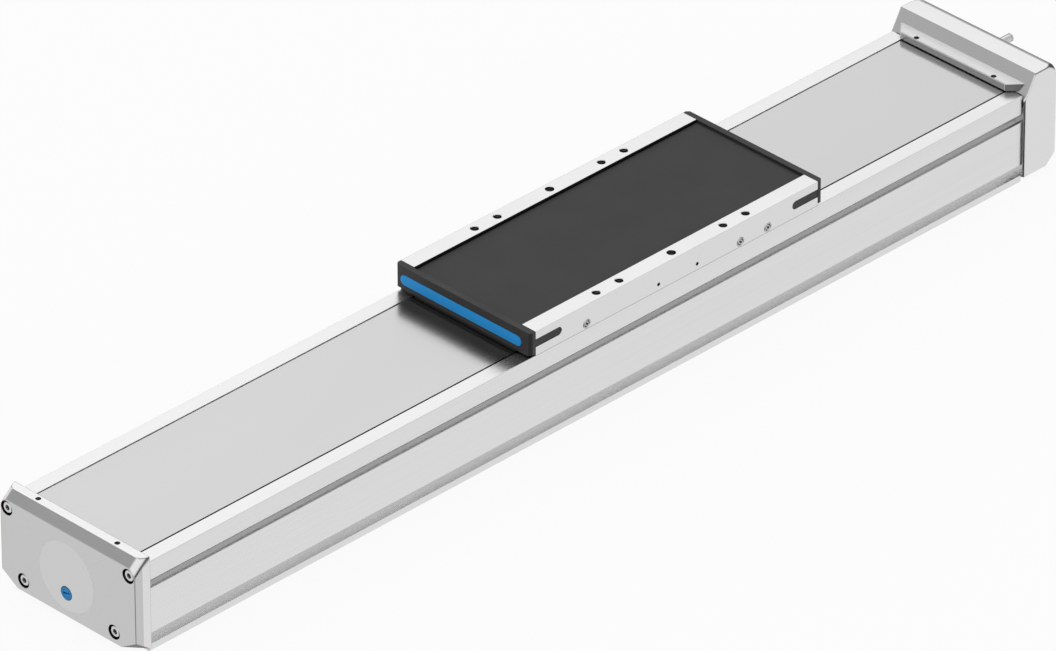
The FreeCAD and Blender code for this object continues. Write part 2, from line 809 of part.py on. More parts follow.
def make_slide_body():
    x0 = slide_local(-slide_half_length)
    x1 = slide_local(slide_half_length)
    shapes = []
    wall = [(slide_rail_inner, slide_bottom_z), (slide_half_width, slide_bottom_z),
            (slide_half_width, slide_top_z - 0.4), (slide_half_width - 0.4, slide_top_z),
            (slide_rail_inner, slide_top_z)]
    shapes += both_sides(run_x(wall, x0, x1))
    w0 = slide_local(-web_half_length)
    w1 = slide_local(web_half_length)
    shapes.append(box(w0, w1, -slide_rail_inner, slide_rail_inner, slide_bottom_z, web_top_z))
    shapes.append(box(w0, w1, -core_half_width, core_half_width, foot_top_z, slide_bottom_z))
    shapes.append(box(slide_local(-foot_half_length), slide_local(foot_half_length), -foot_half_width,
                      foot_half_width, block_top_z, foot_top_z))
    body = shapes[0].fuse(shapes[1:]).removeSplitter()
    cuts = []
    for x in block_xs():
        for y in [-rail_y, rail_y]:
            for dx in [-block_screw_x, block_screw_x]:
                for dy in [-block_screw_y, block_screw_y]:
                    cuts.append(prism_z(x + dx, y + dy, block_top_z - 1, foot_top_z + 1,
                                        hidden_screw_radius + 0.4))
            inner_y = (abs(y) - block_screw_y) * (1 if y > 0 else -1)
            cuts.append(head_pocket(x, inner_y, block_screw_x, 0))
    for x in bracket_screw_xs():
        for y in bracket_screw_ys:
            cuts.append(prism_z(x, y, block_top_z - 1, foot_top_z + 1, hidden_screw_radius + 0.4))
    cuts.append(head_pocket(slide_x, 0, bracket_screw_x, bracket_screw_ys[1]))
    for side in [-1, 1]:
        y = side * top_hole_y
        for x in top_hole_x:
            cuts.append(rod_z(slide_local(x), y, slide_top_z - top_hole_depth, slide_top_z + 1, top_hole_radius))
        cuts.append(rod_z(slide_x, y, slide_top_z - dowel_depth, slide_top_z + 1, dowel_radius))
        edge = side * slide_half_width
        for x in nipple_x:
            cuts.append(prism(V(slide_local(x), edge - side * 7, nipple_z), V(0, side, 0), 8,
                              nipple_radius + 0.2, 10))
        for x in side_hole_x:
            cuts.append(prism(V(slide_local(x), edge - side * 6, side_hole_z), V(0, side, 0), 7,
                              side_hole_radius, 8))
    for cut in tongue_pair(0.1, 0.6):
        cuts.append(cut)
        cuts.append(mirror_slide(cut))
    for x in [w0, w1]:
        for y in [-30, 30]:
            cuts.append(prism_x(x - 8, x + 8, y, shoe_screw_z, 1.6))
    return body.cut(cuts)


def tongue_pair(grow, lead):
    """Side tongues of the near end cap, each with a round inner end."""
    x0 = slide_local(-slide_half_length)
    r = (tongue_high_z - tongue_low_z) / 2 + grow
    mid = (tongue_high_z + tongue_low_z) / 2
    x1 = x0 + tongue_length - r + grow
    y0 = slide_half_width - tongue_depth - grow
    bar = box(x0 - lead, x1, y0, slide_half_width + lead, mid - r, mid + r)
    tip = prism_y(x1, y0, slide_half_width + lead, mid, r)
    return both_sides(bar.fuse(tip))


def make_slide_cap():
    """Near end cap of the slide."""
    x0 = slide_local(-slide_half_length) - slide_cap_thickness
    x1 = slide_local(-slide_half_length)
    w = slide_half_width
    c = slide_cap_chamfer
    plan = [(x0 + c, -w), (x0, -w + c), (x0, w - c), (x0 + c, w), (x1, w), (x1, -w)]
    body = run_z(plan, slide_cap_low_z, slide_top_z - 0.2)
    lip = box(x0 + 1.5, x1, -cap_lip_half_width, cap_lip_half_width, cap_lip_low_z, slide_cap_low_z)
    body = body.fuse(lip)
    inner = both_sides(tongue_side())
    shelf = box(x1, x1 + 8, -cover_half_width + 2, cover_half_width - 2, cover_top_z - cover_thickness - 2.4,
                cover_top_z - cover_thickness - 0.1)
    body = body.fuse(inner + [shelf]).removeSplitter()
    recess = blue_shape(x0 - 1, x0 + 1.2, 0.1)
    w = wiper_half_width + 0.1
    wiper_slot = box(x1 - wiper_thickness - 0.1, x1 + 1, -w, w, band_bottom_z, wiper_top_z + 0.1)
    return body.cut([recess, wiper_slot])


def tongue_side():
    x0 = slide_local(-slide_half_length)
    r = (tongue_high_z - tongue_low_z) / 2
    mid = (tongue_high_z + tongue_low_z) / 2
    x1 = x0 + tongue_length - r
    y0 = slide_half_width - tongue_depth
    y1 = slide_half_width - 0.5
    return box(x0, x1, y0, y1, mid - r, mid + r).fuse(prism_y(x1, y0, y1, mid, r))


def blue_shape(x0, x1, grow):
    r = blue_half_height + grow
    y = blue_half_length - blue_half_height
    bar = box(x0, x1, blue_y - y, blue_y + y, blue_z - r, blue_z + r)
    ends = [prism_x(x0, x1, blue_y + side * y, blue_z, r / math.cos(math.pi / 16), 16) for side in [-1, 1]]
    return bar.fuse(ends).removeSplitter()


def make_blue_insert():
    x0 = slide_local(-slide_half_length) - slide_cap_thickness
    return blue_shape(x0 - 0.3, x0 + 1.2, 0)


def make_wiper():
    x1 = slide_local(-slide_half_length)
    t = wiper_thickness
    w = wiper_half_width
    edge_z = band_bottom_z + band_thickness + wiper_gap
    body = box(x1 - t, x1, -w, w, wiper_low_z, wiper_top_z)
    lip = run_y([(x1 - t, wiper_low_z), (x1 - 0.2, wiper_low_z), (x1 - t + 0.4, edge_z), (x1 - t, edge_z)],
                -w + 1, w - 1)
    return body.fuse(lip).removeSplitter()


def make_slide_cover():
    x0 = slide_local(-slide_half_length)
    x1 = slide_local(slide_half_length)
    top = cover_top_z
    low = cover_low_z
    t = cover_thickness
    w = cover_half_width
    section = [(-w, low), (-w, top - 0.4), (-w + 0.4, top), (w - 0.4, top), (w, top - 0.4), (w, low),
               (w - 2, low), (w - 2, top - t), (-w + 2, top - t), (-w + 2, low)]
    cover = run_x(section, x0, x1)
    ledges = []
    for y in [-w, w - cover_ledge_width]:
        ledges.append(box(slide_local(-cover_ledge_half_length), slide_local(cover_ledge_half_length),
                          y, y + cover_ledge_width, web_top_z, low))
    return cover.fuse(ledges).removeSplitter()


def band_curve(z_shift, steps):
    """Centre line of one ramp, an S of two equal arcs; x rises towards the slide's middle."""
    run = band_ramp_length
    rise = band_lift
    radius = (run * run + rise * rise) / (4 * rise)
    sweep = math.asin(run / 2 / radius)
    points = []
    for i in range(steps + 1):
        a = sweep * i / steps
        points.append((radius * math.sin(a), radius - radius * math.cos(a)))
    for i in range(steps - 1, -1, -1):
        a = sweep * i / steps
        points.append((run - radius * math.sin(a), rise - radius + radius * math.cos(a)))
    return [(slide_local(-band_ramp_start) + x, band_bottom_z + z_shift + z) for x, z in points]


def band_side(z_shift):
    ramp = band_curve(z_shift, 6)
    back = [(2 * slide_x - x, z) for x, z in reversed(ramp)]
    start = (band_near_end_x, band_bottom_z + z_shift)
    stop = (half_length - 0.3, band_bottom_z + z_shift)
    return [start] + ramp + back + [stop]


def make_band():
    low = band_side(0)
    high = band_side(band_thickness)
    return run_y(low + high[::-1], -band_half_width, band_half_width)


def make_band_shoe():
    """Plastic ramp on the near end of the web that lifts the band."""
    under = [(x, z - shoe_clearance) for x, z in band_curve(0, 6) if z - shoe_clearance > shoe_low_z]
    first = (under[0][0], shoe_low_z)
    last = (slide_local(-web_half_length), shoe_low_z)
    shoe = [first, last, (last[0], under[-1][1])] + under[::-1]
    body = run_y(shoe, -shoe_half_width, shoe_half_width)
    x = slide_local(-web_half_length)
    holes = [prism_x(x - 40, x, y, shoe_screw_z, 1.8) for y in [-30, 30]]
    return body.cut(holes)


def make_shoe_screws():
    x = slide_local(-web_half_length)
    shapes = []
    for y in [-30, 30]:
        near = prism_x(x - 14, x + 8, y, shoe_screw_z, 1.6)
        shapes += [near, mirror_slide(near)]
    return solids_of(shapes)


def make_nipples():
    shapes = []
    for side in [-1, 1]:
        edge = side * slide_half_width
        for x in nipple_x:
            start = V(slide_local(x), edge - side * 7, nipple_z)
            shapes.append(prism(start, V(0, side, 0), 7.3, nipple_radius, 10))
    return solids_of(shapes)


# Ball nut and bracket

def bracket_screw_xs():
    return [slide_local(-bracket_screw_x), slide_local(bracket_screw_x)]


def make_bracket():
    x0 = slide_local(-bracket_half_length)
    x1 = slide_local(bracket_half_length)
    body = box(x0, x1, -bracket_half_width, bracket_half_width, bracket_low_z, block_top_z)
    cuts = [prism_x(x0 - 1, x1 + 1, 0, screw_z, nut_radius, round_sides)]
    for x in bracket_screw_xs():
        for y in bracket_screw_ys:
            cuts.append(prism_z(x, y, block_top_z - 3, block_top_z + 1, hidden_screw_radius))
    for y, z in nut_screw_places():
        cuts.append(prism_x(x1 - 9, x1 + 1, y, z, hidden_screw_radius))
    bolster = [(-bracket_half_width, bracket_low_z), (-14, bracket_low_z), (-bracket_half_width, 31)]
    for half in both_sides(run_x(bolster, x0 - 1, x1 + 1)):
        cuts.append(half)
    return body.cut(cuts)


def nut_screw_places():
    places = []
    for angle in [25, 155, 205, 335]:
        a = math.radians(angle)
        places.append((nut_screw_circle * math.cos(a), screw_z + nut_screw_circle * math.sin(a)))
    return places


def make_nut():
    x1 = slide_local(bracket_half_length)
    body = prism_x(x1 - nut_length, x1, 0, screw_z, nut_radius, round_sides)
    flange = prism_x(x1, x1 + nut_flange_thickness, 0, screw_z, nut_flange_radius, round_sides)
    h = nut_flange_half_height
    w = nut_flange_radius + 1
    flats = box(x1 - 1, x1 + nut_flange_thickness + 1, -w, w, screw_z - h, screw_z + h)
    nut = body.fuse(flange.common(flats))
    bore = nut_bore_radius / math.cos(math.pi / round_sides)
    far = x1 + nut_flange_thickness + 1
    cuts = [prism_x(x1 - nut_length - 1, far, 0, screw_z, bore, round_sides)]
    for y, z in nut_screw_places():
        cuts.append(prism_x(x1 - 1, far, y, z, hidden_screw_radius + 0.2))
    return nut.cut(cuts)


def make_nut_screws():
    x1 = slide_local(bracket_half_length)
    shapes = []
    for y, z in nut_screw_places():
        face_x = x1 + nut_flange_thickness
        shank = prism_x(x1 - 8, face_x, y, z, hidden_screw_radius)
        head = prism_x(face_x, face_x + 4, y, z, 3.8)
        shapes.append(head.fuse(shank))
    return solids_of(shapes)


def make_bracket_screws():
    shapes = []
    for x in bracket_screw_xs():
        for y in bracket_screw_ys:
            shank = prism_z(x, y, block_top_z - 2.5, foot_top_z, hidden_screw_radius)
            shapes.append(shank.fuse(prism_z(x, y, foot_top_z, foot_top_z + 5, hidden_screw_head_radius)))
    return solids_of(shapes)


def main():
    save("profile", make_profile())
    strip = make_magnet_strip()
    save("magnet_strip_left", strip)
    save("magnet_strip_right", mirror_y(strip))
    save("guide_rail_left", make_rail(rail_y))
    save("guide_rail_right", make_rail(-rail_y))
    save("rail_screws", make_rail_screws())
    save("near_end_cap", make_near_cap())
    save("near_cap_screws", make_near_screws())
    save("cover_disc", make_disc())
    save("relief_plug", make_plug())
    save("near_band_grub_screws", make_near_grubs())
    save("near_end_stops", make_bumpers(-half_length, 1, near_bumper_length))
    save("far_end_stops", make_bumpers(half_length, -1, far_bumper_length))
    save("drive_housing", make_housing())
    save("housing_screws", make_housing_screws())
    save("band_clamp_bar", make_clamp_bar())
    save("far_band_grub_screws", make_bar_grubs())
    save("air_fitting", make_fitting())
    save("floating_bearing_outer_ring",
         ring(near_bearing_x0, near_bearing_x1, near_bearing_outer_radius, near_outer_ring_bore))
    save("floating_bearing_inner_ring",
         ring(near_bearing_x0, near_bearing_x1, near_inner_ring_radius, near_journal_radius))
    save("floating_bearing_ball_cage", make_cage(near_bearing_x0, near_bearing_x1,
                                                 near_outer_ring_bore, near_inner_ring_radius))
    save("fixed_bearing_outer_ring",
         ring(fixed_bearing_start_x, fixed_bearing_x1, fixed_bearing_outer_radius, fixed_outer_ring_bore))
    save("fixed_bearing_inner_ring",
         ring(fixed_bearing_start_x, fixed_bearing_x1, fixed_inner_ring_radius, drive_journal_radius))
    save("fixed_bearing_ball_cage", make_cage(fixed_bearing_start_x, fixed_bearing_x1,
                                              fixed_outer_ring_bore, fixed_inner_ring_radius))
    save("bearing_retainer", make_retainer())
    save("ball_screw", make_ball_screw())
    save("lock_nut", make_lock_nut())
    save("cover_band", make_band())
    save("slide_body", make_slide_body())
    save("slide_cover", make_slide_cover())
    cap = make_slide_cap()
    save("slide_cap_near", cap)
    save("slide_cap_far", mirror_slide(cap))
    insert = make_blue_insert()
    save("blue_insert_near", insert)
    save("blue_insert_far", mirror_slide(insert))
    wiper = make_wiper()
    save("band_wiper_near", wiper)
    save("band_wiper_far", mirror_slide(wiper))
    shoe = make_band_shoe()
    save("band_shoe_near", shoe)
    save("band_shoe_far", mirror_slide(shoe))
    save("band_shoe_screws", make_shoe_screws())
    save("lube_nipples", make_nipples())
    names = ["near", "far"]
    for x, end in zip(block_xs(), names):
        save("guide_block_left_" + end, make_block(x, rail_y))
        save("guide_block_right_" + end, make_block(x, -rail_y))
    save("block_end_seals", make_block_seals())
    save("block_screws", make_block_screws())
    save("nut_bracket", make_bracket())
    save("bracket_screws", make_bracket_screws())
    save("ball_nut", make_nut())
    save("nut_screws", make_nut_screws())


main()
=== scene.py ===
import json
import math
import bmesh
import bpy
import numpy as np
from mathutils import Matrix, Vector


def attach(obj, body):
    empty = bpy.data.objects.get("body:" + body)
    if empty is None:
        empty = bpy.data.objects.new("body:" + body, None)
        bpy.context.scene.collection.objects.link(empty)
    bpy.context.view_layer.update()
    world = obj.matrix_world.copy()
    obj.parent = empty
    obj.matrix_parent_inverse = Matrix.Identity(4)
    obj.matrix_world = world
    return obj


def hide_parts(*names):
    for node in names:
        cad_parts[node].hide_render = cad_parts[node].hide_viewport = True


# Ball screw linear axis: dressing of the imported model. Sizes are in millimetres, and makeMesh turns them into
# metres. The axis runs along X, the near end cap is at -X, and Z is up from the underside of the profile.
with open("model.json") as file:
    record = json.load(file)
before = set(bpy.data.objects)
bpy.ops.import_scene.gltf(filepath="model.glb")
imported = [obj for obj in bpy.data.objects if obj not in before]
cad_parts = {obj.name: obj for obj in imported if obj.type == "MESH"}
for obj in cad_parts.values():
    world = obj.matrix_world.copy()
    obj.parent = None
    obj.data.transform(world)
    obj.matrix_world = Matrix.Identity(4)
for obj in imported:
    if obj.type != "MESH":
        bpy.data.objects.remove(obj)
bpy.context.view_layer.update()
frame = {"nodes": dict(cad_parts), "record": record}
nodes = frame["nodes"]
slotOfNode = {part["node"]: part["material_slot"] for part in frame["record"]["subparts"]}
scene = bpy.context.scene
mm = 0.001
xAxis, zAxis = (1, 0, 0), (0, 0, 1)
slideX, shaftZ = 92.5, 44.0  # middle of the slide at rest, height of the ball screw
plugAt, discAt, fittingAt = (2.4, 27.5), (1.8, 43.5), (0, 84)  # y and z of lines along X
stopLines = [(-32, 67), (32, 67)]
print("frame loaded:", len(nodes), "nodes")


# camera
cameraPlan = {"azimuth": -44.8227, "elevation": 32.1062, "roll": -0.1346, "lens": 432.36,
              "shift": (0.06350168, -0.24791454, 69.029774), "unit": 0.1545, "alongAxis": 0.0085}


def makeCamera(plan):
    # azimuth and elevation give the way back from the object, and the roll turns right and up about it
    a, e, r = (math.radians(plan[k]) for k in ("azimuth", "elevation", "roll"))
    back = Vector((math.sin(a) * math.cos(e), -math.cos(a) * math.cos(e), math.sin(e)))
    right = Vector((math.cos(a), math.sin(a), 0))
    up = back.cross(right)
    rolledRight = right * math.cos(r) + up * math.sin(r)
    rolledUp = up * math.cos(r) - right * math.sin(r)
    sx, sy, sz = plan["shift"]
    place = (rolledRight * -sx - rolledUp * sy + back * sz) * plan["unit"]
    place.x += plan["alongAxis"]
    data = bpy.data.cameras.new("productCamera")
    data.lens = plan["lens"]
    data.sensor_width = 36
    data.sensor_fit = "HORIZONTAL"
    data.clip_end = 60
    camera = bpy.data.objects.new("productCamera", data)
    scene.collection.objects.link(camera)
    turn = camera.matrix_world.to_3x3()
    turn.col[0], turn.col[1], turn.col[2] = rolledRight, rolledUp, back
    camera.matrix_world = turn.to_4x4()
    camera.location = place
    scene.camera = camera


makeCamera(cameraPlan)
print("camera placed")


# shader maths: a Field is an output of a shader tree that takes part in sums and products
class Field:
    def __init__(self, tree, socket):
        self.tree, self.socket = tree, socket

    def combine(self, kind, first, second):
        node = self.tree.nodes.new("ShaderNodeMath")
        node.operation = kind
        feed(first, node.inputs[0])
        feed(second, node.inputs[1])
        return Field(self.tree, node.outputs[0])

    def __add__(self, other):
        return self.combine("ADD", self, other)

    def __sub__(self, other):
        return self.combine("SUBTRACT", self, other)

    def __rsub__(self, other):
        return self.combine("SUBTRACT", other, self)

    def __mul__(self, other):
        return self.combine("MULTIPLY", self, other)

    def __abs__(self):
        return self.combine("ABSOLUTE", self, 0.0)

    def larger(self, other):
        return self.combine("MAXIMUM", self, other)

    def mix(self, other, share):
        # this value where share is 0 and the other where it is 1
        node = self.tree.nodes.new("ShaderNodeMix")
        node.data_type = "FLOAT"
        for value, slot in ((share, 0), (self, 2), (other, 3)):
            feed(value, node.inputs[slot])
        return Field(self.tree, node.outputs[0])

    def ramp(self, low, high, toLow, toHigh, smooth=False):
        node = self.tree.nodes.new("ShaderNodeMapRange")
        node.interpolation_type = "SMOOTHSTEP" if smooth else "LINEAR"
        for label, value in zip(("Value", "From Min", "From Max", "To Min", "To Max"),
                                (self, low, high, toLow, toHigh)):
            feed(value, node.inputs[label])
        return Field(self.tree, node.outputs["Result"])

    def above(self, low, high):
        return self.ramp(low, high, 0.0, 1.0)

    def below(self, low, high):
        return self.ramp(low, high, 1.0, 0.0)

    def band(self, low, high, soft=0.06):
        # 1 between low and high, falling to 0 over the soft width on both sides
        return self.above(low - soft, low) * self.below(high, high + soft)

    def vector(self, kind, *others):
        node = self.tree.nodes.new("ShaderNodeVectorMath")
        node.operation = kind
        for value, slot in zip((self,) + others, node.inputs):
            feed(value, slot)
        return Field(self.tree, node.outputs["Value" if kind in ("DISTANCE", "DOT_PRODUCT") else "Vector"])

    def noise(self, scale, detail=2.0, rough=0.5):
        node = self.tree.nodes.new("ShaderNodeTexNoise")
        for label, value in zip(("Vector", "Scale", "Detail", "Roughness"), (self, scale, detail, rough)):
            feed(value, node.inputs[label])
        return Field(self.tree, node.outputs["Fac"])


def feed(value, slot):
    if isinstance(value, Field):
        value.tree.links.new(value.socket, slot)
    else:
        slot.default_value = value


def newGroup(name, inputs, outputs):
    # inputs and outputs: (name, socket kind); inputs come back as fields, outputs as sockets to feed
    group = bpy.data.node_groups.new(name, "ShaderNodeTree")
    for side, sockets in (("INPUT", inputs), ("OUTPUT", outputs)):
        for label, kind in sockets:
            group.interface.new_socket(label, in_out=side, socket_type="NodeSocket" + kind)
    start, end = group.nodes.new("NodeGroupInput"), group.nodes.new("NodeGroupOutput")
    return group, {label: Field(group, start.outputs[label]) for label, kind in inputs}, end.inputs


def makePattern(recipe):
    # a pattern puts out a tone from 1 - Depth to 1, a height for the bump and a gloss for the roughness
    group, given, out = newGroup(recipe.__name__, [("Place", "Vector"), ("Depth", "Float")],
                                 [("Tone", "Float"), ("Height", "Float"), ("Gloss", "Float")])
    mixed, height, gloss = recipe(given["Place"])
    feed(mixed.ramp(0.3, 0.7, 1.0 - given["Depth"], 1.0), out["Tone"])
    feed(height, out["Height"])
    feed(gloss, out["Gloss"])
    return group


def drawnLines(place):
    # long streaks along X: noise squeezed across, stretched along; coarse bands plus hair lines
    coarse = place.vector("MULTIPLY", (1.2, 210, 210)).noise(1.0)
    fine = place.vector("MULTIPLY", (4, 620, 620)).noise(1.0)
    cloud = place.vector("MULTIPLY", (3, 9, 9)).noise(1.0, 1.0)
    mixed = coarse * 0.55 + fine * 0.45
    return mixed, mixed, mixed * 0.5 + cloud * 0.5


def blastedGrain(place):
    # fine even speckle of bead-blasted and anodised faces, with a slow drift of tone
    speckle, drift = place.noise(2600.0, 2.0, 0.6), place.noise(14.0, 1.0)
    return speckle * 0.6 + drift * 0.4, speckle, drift


def mouldedGrain(place):
    # spark-eroded texture of moulded plastic: small cells over a soft waviness
    cells = place.tree.nodes.new("ShaderNodeTexVoronoi")
    feed(1500.0, cells.inputs["Scale"])
    feed(place, cells.inputs["Vector"])
    wave, fine = place.noise(25.0), place.noise(900.0)
    return wave * 0.6 + fine * 0.4, Field(place.tree, cells.outputs["Distance"]), wave


def turnedRings(place):
    # rings left by the lathe: bands along the turning axis X, faint and close
    rings = place.vector("MULTIPLY", (1900, 30, 30)).noise(1.0)
    return rings, rings, place.noise(40.0, 1.0)


def makeLineDistance():
    # distance in mm of a place from a line: both are given as 3-D places with one coordinate left at zero
    group, given, out = newGroup("lineDistance", [(label, "Vector") for label in ("Place", "Line", "Keep")],
                                 [("Distance", "Float")])
    flat = given["Place"].vector("MULTIPLY", given["Keep"])
    feed(flat.vector("DISTANCE", given["Line"]) * (1 / mm), out["Distance"])
    return group


patterns = {"lines": makePattern(drawnLines), "grain": makePattern(blastedGrain),
            "moulded": makePattern(mouldedGrain), "rings": makePattern(turnedRings)}
lineDistance = makeLineDistance()

# each finish: linear colour (one number is a grey), metallic, lowest and highest roughness, pattern, depth of
# the pattern, bump in micrometres
finishes = {
    "anodised_profile": (0.93, 1.0, 0.25, 0.32, "lines", 0.045, 0.5),
    "anodised_ends": (0.92, 1.0, 0.23, 0.28, "grain", 0.03, 3),
    "anodised_bar": (0.77, 1.0, 0.24, 0.30, "grain", 0.03, 3),
    "anodised_disc": (0.99, 1.0, 0.28, 0.32, "grain", 0.02, 2),
    "anodised_slide": (0.905, 1.0, 0.23, 0.28, "grain", 0.03, 3),
    "bracket_aluminium": ((0.72, 0.72, 0.73), 1.0, 0.32, 0.42, "lines", 0.06, 6),
    "band_steel": (0.665, 1.0, 0.19, 0.25, "lines", 0.03, 2),
    "bearing_steel": ((0.60, 0.60, 0.61), 1.0, 0.14, 0.26, "rings", 0.08, 3),
    "screw_steel": (0.78, 1.0, 0.24, 0.34, "grain", 0.08, 3),
    "bright_screw_steel": (0.93, 0.4, 0.24, 0.32, "grain", 0.05, 2),
    "nipple_steel": (0.80, 1.0, 0.22, 0.32, "grain", 0.06, 2),
    "black_screw_steel": ((0.035, 0.035, 0.037), 0.6, 0.35, 0.5, "grain", 0.2, 4),
    "black_plastic": ((0.030, 0.0295, 0.029), 0.0, 0.42, 0.55, "moulded", 0.12, 10),
    "cap_plastic": ((0.030, 0.0295, 0.029), 0.0, 0.42, 0.55, "moulded", 0.12, 10),
    "cover_plastic": (0.031, 0.0, 0.54, 0.60, "moulded", 0.05, 6),
    "shoe_plastic": ((0.55, 0.53, 0.46), 0.0, 0.38, 0.5, "moulded", 0.08, 8),
    "blue_plastic": ((0.002, 0.31, 0.78), 0.0, 0.42, 0.54, "moulded", 0.06, 6),
    "blue_plug": ((0.002, 0.25, 0.62), 0.0, 0.42, 0.54, "moulded", 0.06, 6),
    "black_rubber": (0.022, 0.0, 0.62, 0.78, "moulded", 0.18, 14),
}

# sizes that the shades and the shapes share
screwPlan = {"headRadius": 5.0, "headHeight": 5.5, "coreRadius": 2.45, "socket": 2.35, "socketDepth": 2.6,
             "wellRadius": 6.72, "places": [(72.1, 78.4), (-72.1, 78.4), (53.9, 15.9), (-53.9, 15.9)],
             # x of the head's face, direction, reach behind the head
             "near_cap_screws": (-533.5 + 6.2 - 5.5, 1, 32.4),
             "housing_screws": (558.5 - 28.2 + 5.5, -1, 35.5)}
slidePlan = {"half": 168.15, "top": 112.0, "edge": 0.25, "bandSlit": (-61.3, 61.3, 84.5, 86.3), "holeY": 72.0,
             "boltX": [-89.0, -62.0, 62.0, 89.0], "holeRadius": 3.4, "sink": 0.6, "sideHoleX": (-23, 23),
             "sideHoleZ": 94.1, "sideHoleRadius": 1.75}
nipplePlan = {"x": [-108.0, 75.0, 108.0], "z": 93.0, "face": 80.0, "radius": 4.15}


# painted shade: each darkens a finish's colour where shade falls, at holes, seams and set-back faces; marks are
# mm in the part's own frame
class Spot:
    def __init__(self, place):
        # side is the distance from the middle plane; folded is the place with every coordinate taken positive
        node = place.tree.nodes.new("ShaderNodeSeparateXYZ")
        feed(place, node.inputs[0])
        self.x, self.y, self.z = (Field(place.tree, node.outputs[k]) * (1 / mm) for k in range(3))
        self.side = abs(self.y)
        self.place, self.folded = place, place.vector("ABSOLUTE")

    def inRound(self, line, keep, radius, soft=0.05, folded=False):
        # 1 within a radius of a line along one axis; keep says which coordinates count
        place = self.folded if folded else self.place
        node = place.tree.nodes.new("ShaderNodeGroup")
        node.node_tree = lineDistance
        feed(place, node.inputs["Place"])
        feed([v * mm * k for v, k in zip(line, keep)], node.inputs["Line"])
        feed(keep, node.inputs["Keep"])
        return Field(place.tree, node.outputs["Distance"]).below(radius, radius + soft)


def darken(*masks):
    # product of (1 - depth * mask) over (mask, depth) pairs
    total = None
    for mask, depth in masks:
        part = 1.0 - mask * depth
        total = part if total is None else total * part
    return total


def profileShade(spot):
    # painted shade in the lower inside of the side slots and in the narrow gap along the band's near side
    slot = spot.side.band(60.0, 74.0, 0.3) * spot.z.band(55.0, 59.45)
    gap = spot.y.band(-62.4, -60.3) * spot.z.band(80.0, 85.8)
    return darken((slot, 0.36), (gap, 0.94))


def bandShade(spot):
    # painted shade on the band's edge towards the gap, which is painted dark as well
    return darken((spot.y.below(-60.75, -60.6), 0.94))


def barFaces(spot):
    # masks of the clamp bar's slanted end faces and of its front rims; s is the distance from an end face
    s = (spot.side - 62.2) * (11.8 / 15.66) - (spot.x - 510.6) * (10.3 / 15.66)
    ends = s.above(-0.3, -0.2) * spot.z.below(93.3, 93.5)
    nearTop, nearFront, nearEnd = spot.z.above(93.1, 93.3), spot.x.below(511.1, 511.3), s.above(-0.9, -0.7)
    return ends, (nearTop * nearFront.larger(nearEnd)).larger(nearFront * nearEnd)


def barShade(spot):
    # painted shade: the slanted end faces are darkened
    return darken((barFaces(spot)[0], 0.78))


def barMetal(spot):
    # the end faces and the rims are dull: they scatter light instead of mirroring the dark side of the tent
    ends, rims = barFaces(spot)
    return 1.0 - ends.larger(rims)


def screwWells(spot, radius, soft=0.05):
    return [spot.inRound((0, y, z), (0, 1, 1), radius, soft, True) for y, z in screwPlan["places"][::2]]


def screwShade(spot):
    # painted shade in the star sockets of the corner screws
    return darken(*((well, 0.85) for well in screwWells(spot, screwPlan["socket"], 0.25)))


def endsShade(spot):
    # painted shade: the wells of the corner screws, the cap's edge against the profile, the housing's upper
    # side edges, the ends of the cap's ridge, its leaning side strip and its front edge are darkened
    rearEdge = spot.x.band(-517.1, -516.0, 0.1)
    topEdge = spot.side.above(78.9, 79.3) * spot.z.band(103.0, 103.8, 0.2)
    brow = spot.z.band(92.6, 93.3) * (spot.x.band(-525.0, -517.0) * spot.side.above(71.0, 71.5))
    strip = spot.side.above(78.9, 79.2) * spot.x.below(-525.5, -525.3)
    frontEdge = spot.side.above(79.25, 79.45) * spot.x.below(-533.1, -532.9)
    return darken(*((well, 0.9) for well in screwWells(spot, screwPlan["wellRadius"])),
                  (rearEdge, 0.40), (topEdge, 0.55), (brow, 0.45), (strip, 0.24), (frontEdge, 0.5))


def slideShade(spot):
    # painted shade at the bolt and dowel holes, side holes, the seams to the caps and the cover, and along the
    # lower edge
    under, inner = spot.z.below(111.2, 111.5), spot.side.below(79.4, 79.5)
    masks = [(spot.z.below(88.3, 88.7), 0.60)]
    for x, radius, depth in [(x, 3.45, 0.80) for x in slidePlan["boltX"]] + [(0, 4.05, 0.45)]:
        hole = spot.inRound((slideX + x, slidePlan["holeY"], 0), (1, 1, 0), radius, folded=True)
        masks.append((under * hole, depth))
    for x in slidePlan["sideHoleX"]:
        hole = spot.inRound((slideX + x, 0, slidePlan["sideHoleZ"]), (1, 0, 1), slidePlan["sideHoleRadius"])
        masks.append((inner * hole, 0.85))
    away = 1.0 - spot.inRound((slideX, 0, 0), (1, 0, 0), slidePlan["half"])
    seam = spot.side.below(63.9, 64.0) * spot.z.above(98, 99)
    return darken(*masks, (away, 0.9), (seam, 0.9))


def nippleShade(spot):
    # painted shade in the ring groove and the funnel of the nipples
    funnels = [spot.inRound((slideX + x, 0, nipplePlan["z"]), (1, 0, 1), 1.1, 0.4) for x in nipplePlan["x"]]
    return darken((spot.side.below(79.2, 79.5), 0.8), *((funnel, 0.9) for funnel in funnels))


def plugShade(spot):
    # painted shade on the plug's rim ring and in the ring round its middle
    outer, inner, middle = (spot.inRound((0, *plugAt), (0, 1, 1), radius, 0.3) for radius in (5.5, 3.6, 4.1))
    return darken((1.0 - outer, 0.7), (middle - inner, 0.4))


def capShade(spot):
    # the set-back lip below the slide's end caps lies in their shadow
    return darken((spot.z.below(89.7, 90.0) * spot.side.below(62.5, 63.0), 0.94))


# finishes whose colour carries painted shade
shades = {"cap_plastic": capShade, "blue_plug": plugShade, "anodised_profile": profileShade,
          "anodised_ends": endsShade, "anodised_slide": slideShade, "nipple_steel": nippleShade,
          "band_steel": bandShade, "anodised_bar": barShade, "bright_screw_steel": screwShade}
metals = {"anodised_bar": barMetal}


